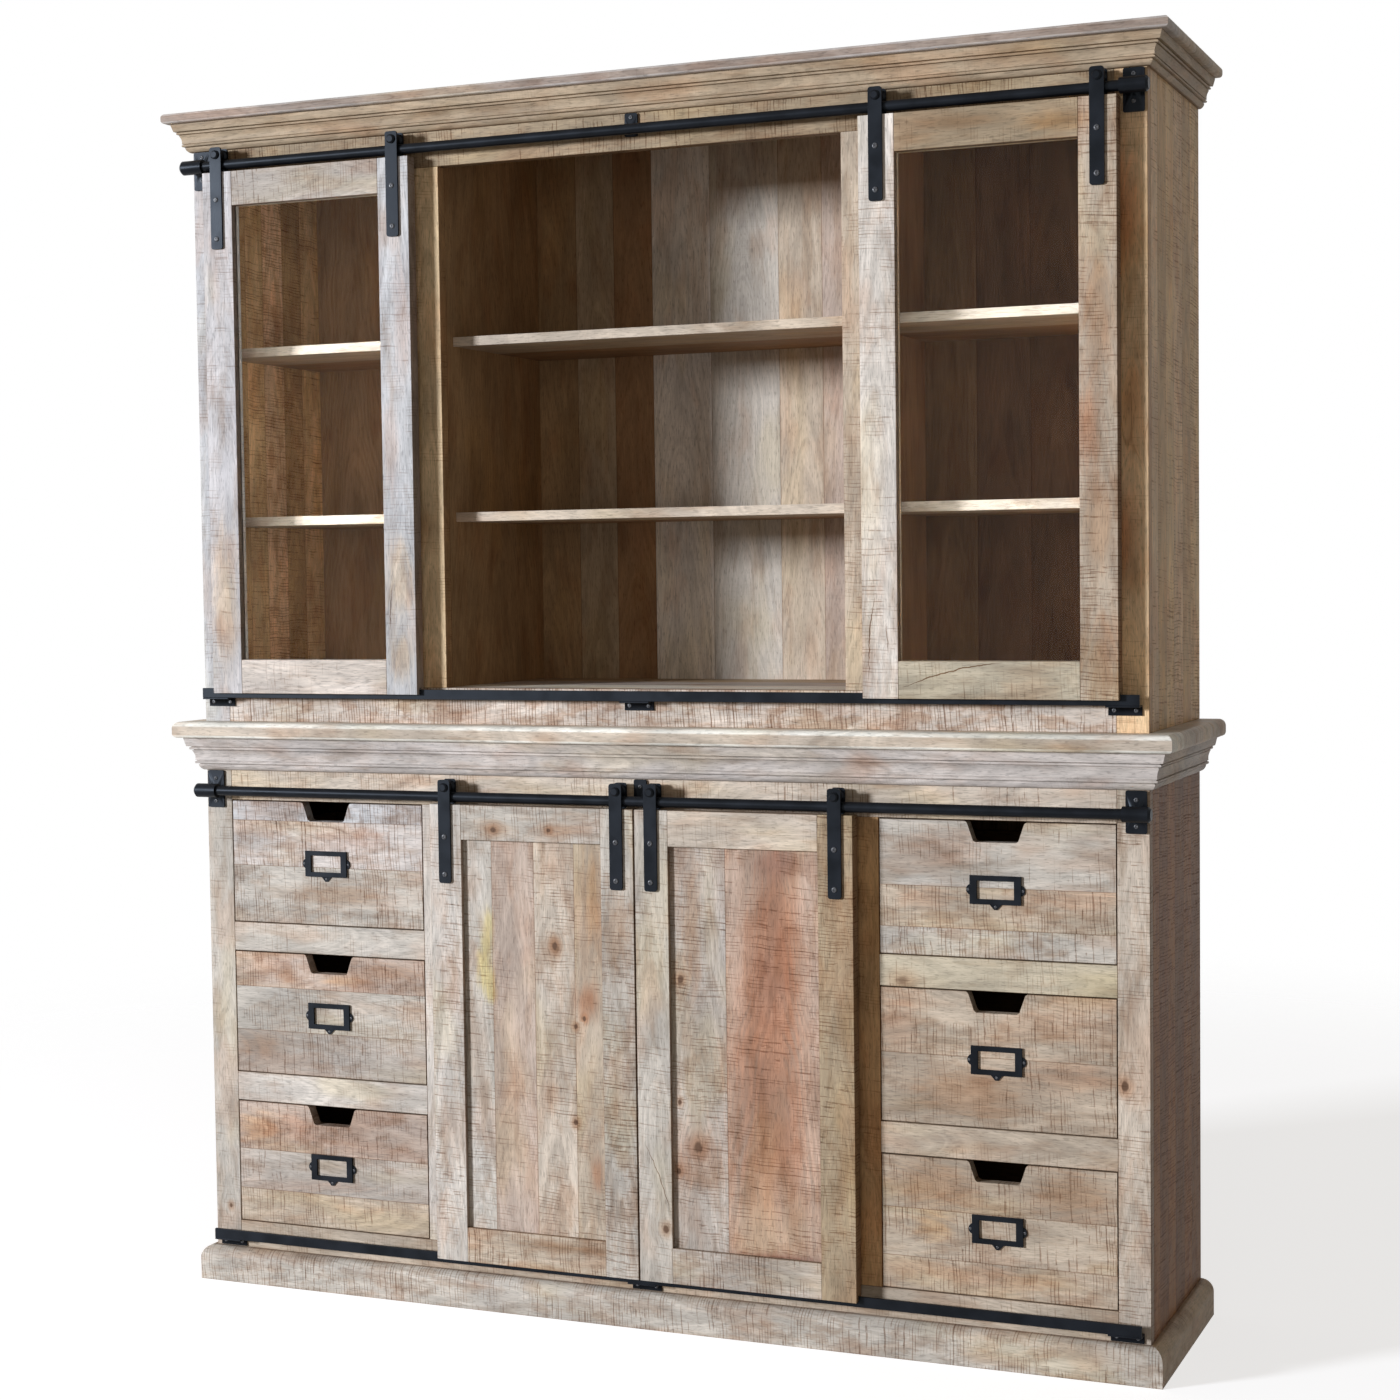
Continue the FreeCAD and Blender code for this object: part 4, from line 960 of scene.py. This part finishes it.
FRONTS = {
    # The top strip's bluish grey paints a window's sheen.
    "left_top": ((795, 880), ("linen", "ash", "sheen_silver"), (
        (-620, 745, 85, 18, "brown"), (-560, 850, 40, 16, "rosy"))),
    "left_middle": ((482, 565), ("grey", "linen", "pink"), (
        (-520, 604, 62, 14, "brown"), (-610, 584, 40, 9, "orange"), (-790, 455, 55, 24, "brown"),
        (-735, 590, 18, 14, "brown"))),
    "left_bottom": ((178, 254), ("beige", "grey", "pink"), (
        (-800, 292, 42, 27, "orange"), (-720, 300, 34, 26, "rosy"), (-640, 196, 85, 11, "rosy"))),
    "right_top": ((735, 805), ("linen", "beige", "linen"), (
        (525, 784, 45, 17, "rosy"), (780, 792, 62, 18, "rosy"), (560, 870, 60, 30, "rosy"))),
    "right_middle": ((520,), ("taupe", "beige"), (
        (590, 455, 95, 32, "brown"), (760, 500, 60, 26, "rosy"), (470, 560, 35, 40, "rosy"))),
    "right_bottom": ((172, 255), ("taupe", "beige", "taupe"), (
        (765, 300, 58, 30, "brown"), (530, 300, 62, 32, "brown"), (640, 148, 75, 14, "rosy"),
        (530, 225, 30, 20, "orange"))),
}

for drawer, (places, tones, stains) in FRONTS.items():
    dress_wood(f"{drawer}_drawer_front", tones, saw=1.4, grain="x", strips=("z", places), stains=stains)
    dress_wood(f"{drawer}_drawer_box", DRAWER_BOX_TONES, saw=0.2, dark=True)
    dress_iron(f"{drawer}_drawer_label_holder")


# The doors

dress_wood("left_buffet_door_frame", ("beige", "cream"), saw=1.0, picks=(
    (-385, 500, "white", 1.0), (-20, 500, "linen", 1.9), (-200, 890, "linen", 1.0),
    (-200, 115, "beige", 1.2)),
    stains=((-275, 880, 26, 14, "brown"), (-150, 882, 44, 12, "brown"), (-40, 700, 25, 60, "brown"),
            (-150, 135, 90, 10, "brown")),
    knots=((-275, 880, 5), (-165, 882, 4)))
dress_wood("right_buffet_door_frame", ("beige", "cream"), saw=1.0, picks=(
    (20, 500, "linen", 0.8), (385, 500, "drab", 1.7), (200, 890, "cream", 0.5), (200, 115, "grey", 1.2)),
    knots=((52, 187, 6),), cracks=((14, 336, 62, 214, -4, 1.4),))
dress_wood("left_buffet_door_panel", ("linen", "pink", "cream", "beige"), saw=1.0, grain="z",
           strips=("x", (-284, -200, -121)), stains=(
    (-291, 712, 8, 22, "yellow"), (-296, 676, 10, 24, "yellow"), (-303, 640, 11, 24, "yellow"),
    (-295, 608, 14, 20, "yellow"), (-288, 582, 9, 16, "yellow"), (-325, 790, 22, 60, "pale"),
    (-315, 260, 25, 90, "pale"), (-95, 578, 22, 30, "rust"), (-84, 780, 14, 90, "orange"),
    (-82, 270, 12, 35, "rust"), (-160, 675, 17, 22, "brown"), (-185, 560, 14, 80, "pale")),
    knots=((-160, 675, 6), (-123, 361, 5), (-121, 533, 4), (-104, 548, 4)))
dress_wood("right_buffet_door_panel", ("grey", "rose"), saw=1.1, grain="z", strips=("x", (168,)), stains=(
    (245, 610, 44, 130, "rust"), (258, 750, 28, 90, "rust"), (252, 665, 16, 60, "plum"),
    (268, 835, 40, 20, "plum"), (235, 450, 46, 110, "rust"), (250, 330, 60, 90, "rosy"),
    (270, 152, 80, 8, "plum"), (318, 780, 20, 55, "pale"), (155, 700, 12, 130, "pale"),
    (120, 288, 32, 22, "brown"), (108, 330, 34, 44, "rosy"), (105, 720, 14, 110, "brown"),
    (185, 720, 14, 120, "pale"), (330, 520, 14, 160, "pale")),
    knots=((82, 628, 6), (78, 412, 4), (75, 290, 5), (112, 335, 9)))
# The stiles' bluish greys paint a window's sheen, and the orange stains low on them warm their lower parts,
# so that the painted sheen fades downwards.
dress_wood("left_hutch_door_frame", ("sheen_silver", "cream"), saw=0.9, picks=(
    (-455, 1600, "sheen_silver", 0.9), (-826, 1600, "sheen_frost", 0.9), (-640, 2060, "grey", 0.8),
    (-640, 1150, "blush", 0.6)),
    stains=((-455, 1330, 26, 60, "orange"), (-470, 1560, 14, 70, "rosy"), (-440, 1800, 14, 90, "rosy"),
            (-455, 1190, 24, 40, "orange"), (-826, 1300, 26, 120, "orange")),
    cracks=((-470, 1322, -477, 1236, 2, 1.6),))
dress_wood("right_hutch_door_frame", ("beige", "tan"), saw=0.9, picks=(
    (455, 1600, "bone", 0.8), (826, 1600, "beige", 1.2), (640, 2060, "drab", 0.5),
    (640, 1150, "straw", 0.9)),
    stains=((760, 2050, 50, 14, "orange"), (600, 2062, 70, 12, "brown"), (826, 1400, 25, 60, "brown"),
            (832, 1190, 24, 60, "brown"), (826, 1750, 20, 90, "brown"), (812, 1560, 16, 60, "rust")),
    cracks=((493, 1138, 668, 1182, -7, 2.2), (447, 1292, 436, 1150, 4, 1.8),
            (466, 1250, 470, 1196, 0, 1.2)))
for side in SIDES:
    for row in ("buffet", "hutch"):
        dress_iron(f"{side}_{row}_door_hangers")
        for end in ("inner", "outer"):
            dress_iron(f"{side}_{row}_door_{end}_roller")
    pane = frame["nodes"][f"{side}_hutch_door_glass"]
    pane.data.materials.clear()
    pane.data.materials.append(clear_glass)

for node in ("door_rails", "rail_brackets", "door_guides"):
    dress_iron(node)


# Screws with a cross recess, on the straps, brackets, clips and label holders

SCREW_SIDES = 32
STRAP_SCREW = 4.8 * MM
PLATE_SCREW = 3.8 * MM
LABEL_SCREW = 2.5 * MM
SCREW_HEIGHT_SHARE = 0.36
RECESS_LENGTH_SHARE = 0.56
RECESS_WIDTH_SHARE = 0.17
RECESS_LEAST = 1e-6

# Rings of a head from its foot to the recess, then of the recess: share of the radius, share of the height
HEAD_RINGS = ((1.0, -0.05), (1.0, 0.25), (0.93, 0.55), (0.80, 0.80), (0.64, 0.95))
RECESS_RINGS = ((1.0, 1.0), (0.92, 0.90), (0.70, 0.25))

# Places in millimetres: straps, label holders, rail brackets, guide clips, and the screws' steps from them
STRAP_CENTRES = {"buffet": (33.0, 372.0), "hutch": (455.5, 826.5)}
STRAP_SCREW_HEIGHTS = {"buffet": (865.0, 797.0), "hutch": (2034.0, 1962.0)}
DRAWER_CENTRE = 642.0
DRAWER_HEIGHTS = {"bottom": 230.0, "middle": 516.0, "top": 802.0}
LABEL_SCREW_STEPS = ((-47.0, 0.0), (47.0, 0.0), (0.0, -28.0))
ROD_HEIGHTS = (936.5, 2099.0)
END_BRACKETS = (-878.5, 878.5)
END_BRACKET_STEPS = (-21.5, 21.5)
CENTRE_BRACKET_STEP = 24.0
GUIDE_HEIGHTS = (73.5, 1103.0)
GUIDE_CLIPS = (-861.0, 0.0, 861.0)
GUIDE_CLIP_STEPS = (-18.0, 18.0)

# From where in front of the object the screws' places are looked for, in metres
FRONT_START = -1.0


def recess_radius(angle):
    """Distance from the middle to the edge of the cross, as a share of the head's radius."""
    c = max(abs(math.cos(angle)), RECESS_LEAST)
    s = max(abs(math.sin(angle)), RECESS_LEAST)
    level = min(RECESS_WIDTH_SHARE / s, RECESS_LENGTH_SHARE / c)
    upright = min(RECESS_WIDTH_SHARE / c, RECESS_LENGTH_SHARE / s)
    return max(level, upright)


def add_screw(bm, x, y, z, radius, turn):
    """A domed head that looks towards the front, with its foot on the point."""
    height = radius * SCREW_HEIGHT_SHARE
    angles = [2.0 * math.pi * i / SCREW_SIDES for i in range(SCREW_SIDES)]
    cross = [recess_radius(angle) for angle in angles]
    rings = [([share] * SCREW_SIDES, rise) for share, rise in HEAD_RINGS]
    rings += [([share * shrink for share in cross], rise) for shrink, rise in RECESS_RINGS]
    loops = []
    for shares, rise in rings:
        loop = []
        for angle, share in zip(angles, shares):
            step_x = radius * share * math.cos(angle + turn)
            step_z = radius * share * math.sin(angle + turn)
            loop.append(bm.verts.new((x + step_x, y - height * rise, z + step_z)))
        loops.append(loop)
    for outer, inner in zip(loops, loops[1:]):
        for i in range(SCREW_SIDES):
            j = (i + 1) % SCREW_SIDES
            bm.faces.new((outer[i], outer[j], inner[j], inner[i]))
    bm.faces.new(loops[-1])
    bm.faces.new(loops[0][::-1])


def front_of(node, x, z):
    """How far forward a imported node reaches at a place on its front."""
    mesh = frame["nodes"][node].data
    tree = BVHTree.FromPolygons([v.co for v in mesh.vertices], [p.vertices[:] for p in mesh.polygons])
    hit = tree.ray_cast(Vector((x, FRONT_START, z)), Vector((0.0, 1.0, 0.0)))[0]
    return hit.y


def make_screws(name, body, spots):
    """One piece of all the screws on a body; spots are (node, x, z, radius) in metres."""
    rng = random.Random(f"{SEED} {name}")
    bm = bmesh.new()
    for node, x, z, radius in spots:
        add_screw(bm, x, front_of(node, x, z), z, radius, rng.uniform(0.0, math.pi))
    bmesh.ops.recalc_face_normals(bm, faces=bm.faces)
    mesh = bpy.data.meshes.new(name)
    bm.to_mesh(mesh)
    bm.free()
    piece = finished(name, mesh)
    mesh.materials.append(screw_black)
    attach(piece, body)


def hanger_screws(side, row):
    node = f"{side}_{row}_door_hangers"
    spots = []
    for x in STRAP_CENTRES[row]:
        for z in STRAP_SCREW_HEIGHTS[row]:
            spots.append((node, SIDES[side] * x * MM, z * MM, STRAP_SCREW))
    make_screws(f"{side}_{row}_door_screws", f"{side}_{row}_door", spots)


def label_screws(side, level):
    drawer = f"{side}_{level}_drawer"
    middle = SIDES[side] * DRAWER_CENTRE * MM
    spots = []
    for dx, dz in LABEL_SCREW_STEPS:
        z = (DRAWER_HEIGHTS[level] + dz) * MM
        spots.append((f"{drawer}_label_holder", middle + dx * MM, z, LABEL_SCREW))
    make_screws(f"{drawer}_label_screws", drawer, spots)


def cabinet_screws():
    spots = []
    for rod in ROD_HEIGHTS:
        for x in END_BRACKETS:
            for dz in END_BRACKET_STEPS:
                spots.append(("rail_brackets", x * MM, (rod + dz) * MM, PLATE_SCREW))
        spots.append(("rail_brackets", 0.0, (rod + CENTRE_BRACKET_STEP) * MM, PLATE_SCREW))
    for z in GUIDE_HEIGHTS:
        for middle in GUIDE_CLIPS:
            for dx in GUIDE_CLIP_STEPS:
                spots.append(("door_guides", (middle + dx) * MM, z * MM, PLATE_SCREW))
    make_screws("cabinet_screws", "cabinet", spots)


for side in SIDES:
    hanger_screws(side, "buffet")
    hanger_screws(side, "hutch")
    for level in DRAWER_HEIGHTS:
        label_screws(side, level)
cabinet_screws()


# Stage, light and camera

FLOOR_HALF = 4.5
FLOOR_FADE = 2.2
FLOOR_COLOUR = (0.62, 0.605, 0.59, 1.0)
FLOOR_GLOW = 0.70
AMBIENT = 0.17
AMBIENT_COLOUR = (1.0, 0.91, 0.81, 1.0)
WHITE = (1.0, 1.0, 1.0, 1.0)
KEY_PLACE = Vector((-11.6, -11.0, 3.5))
KEY_SIZE = 2.4
KEY_POWER = 3750.0
KEY_COLOUR = (0.92, 0.985, 1.10)
FILL_PLACE = Vector((2.2, -9.5, 2.0))
FILL_SIZE = 3.6
FILL_POWER = 45.0
FILL_COLOUR = (1.0, 0.94, 0.86)
LAMP_TARGET = Vector((0.0, 0.0, 1.1))
LENS = 63.29
SENSOR = 36.0
CAMERA_PLACE = (1.7567, -4.1192, 1.3324)
CAMERA_TURN = math.radians(22.64)
CAMERA_PITCH = math.radians(-2.934)
CAMERA_ROLL = math.radians(-0.721)


def make_floor():
    """A pale floor that shows white to the camera, keeps the shadow and fades into the background."""
    g = Graph(bpy.data.materials.new("pale_floor_finish"))
    base = g.node("ShaderNodeBsdfDiffuse", {"Color": FLOOR_COLOUR}).outputs[0]
    glow = g.node("ShaderNodeEmission", {"Strength": g.times(g.seen(), FLOOR_GLOW)}).outputs[0]
    both = g.node("ShaderNodeAddShader", {0: base, 1: glow}).outputs[0]
    distance = g.node("ShaderNodeVectorMath", {0: g.object_place()}, operation="LENGTH").outputs["Value"]
    fade = g.ranged(distance, FLOOR_FADE, FLOOR_HALF)
    clear = g.node("ShaderNodeBsdfTransparent").outputs[0]
    mesh = bpy.data.meshes.new("floor")
    h = FLOOR_HALF
    mesh.from_pydata([(-h, -h, 0.0), (h, -h, 0.0), (h, h, 0.0), (-h, h, 0.0)], [], [(0, 1, 2, 3)])
    mesh.materials.append(g.finish(g.mix_shaders(fade, both, clear)))
    floor = bpy.data.objects.new("floor", mesh)
    bpy.context.scene.collection.objects.link(floor)


def make_world():
    """White to the eye, softer and warmer as a light."""
    world = bpy.data.worlds.new("studio")
    bpy.context.scene.world = world
    g = Graph(world, "ShaderNodeOutputWorld")
    light = g.node("ShaderNodeBackground", {"Color": AMBIENT_COLOUR, "Strength": AMBIENT}).outputs[0]
    white = g.node("ShaderNodeBackground", {"Color": WHITE, "Strength": 1.0}).outputs[0]
    g.finish(g.mix_shaders(g.seen(), light, white))


def make_lamp(name, spot, size, power, colour):
    """A large soft lamp that looks at the object."""
    lamp = bpy.data.lights.new(name, "AREA")
    lamp.shape = "SQUARE"
    lamp.size = size
    lamp.energy = power
    lamp.color = colour
    holder = bpy.data.objects.new(name, lamp)
    holder.location = spot
    holder.rotation_euler = (LAMP_TARGET - spot).to_track_quat("-Z", "Y").to_euler()
    bpy.context.scene.collection.objects.link(holder)


def make_camera():
    """The camera, at the viewing angle that was measured."""
    lens = bpy.data.cameras.new("camera")
    lens.sensor_width = SENSOR
    lens.lens = LENS
    camera = bpy.data.objects.new("camera", lens)
    turn = Matrix.Rotation(CAMERA_TURN, 4, "Z")
    pitch = Matrix.Rotation(math.pi / 2.0 + CAMERA_PITCH, 4, "X")
    roll = Matrix.Rotation(CAMERA_ROLL, 4, "Z")
    camera.matrix_world = Matrix.Translation(CAMERA_PLACE) @ turn @ pitch @ roll
    bpy.context.scene.collection.objects.link(camera)
    bpy.context.scene.camera = camera


make_floor()
make_world()
make_lamp("key", KEY_PLACE, KEY_SIZE, KEY_POWER, KEY_COLOUR)
make_lamp("fill", FILL_PLACE, FILL_SIZE, FILL_POWER, FILL_COLOUR)
make_camera()
bpy.context.scene.view_settings.view_transform = "Standard"

bpy.context.view_layer.update()
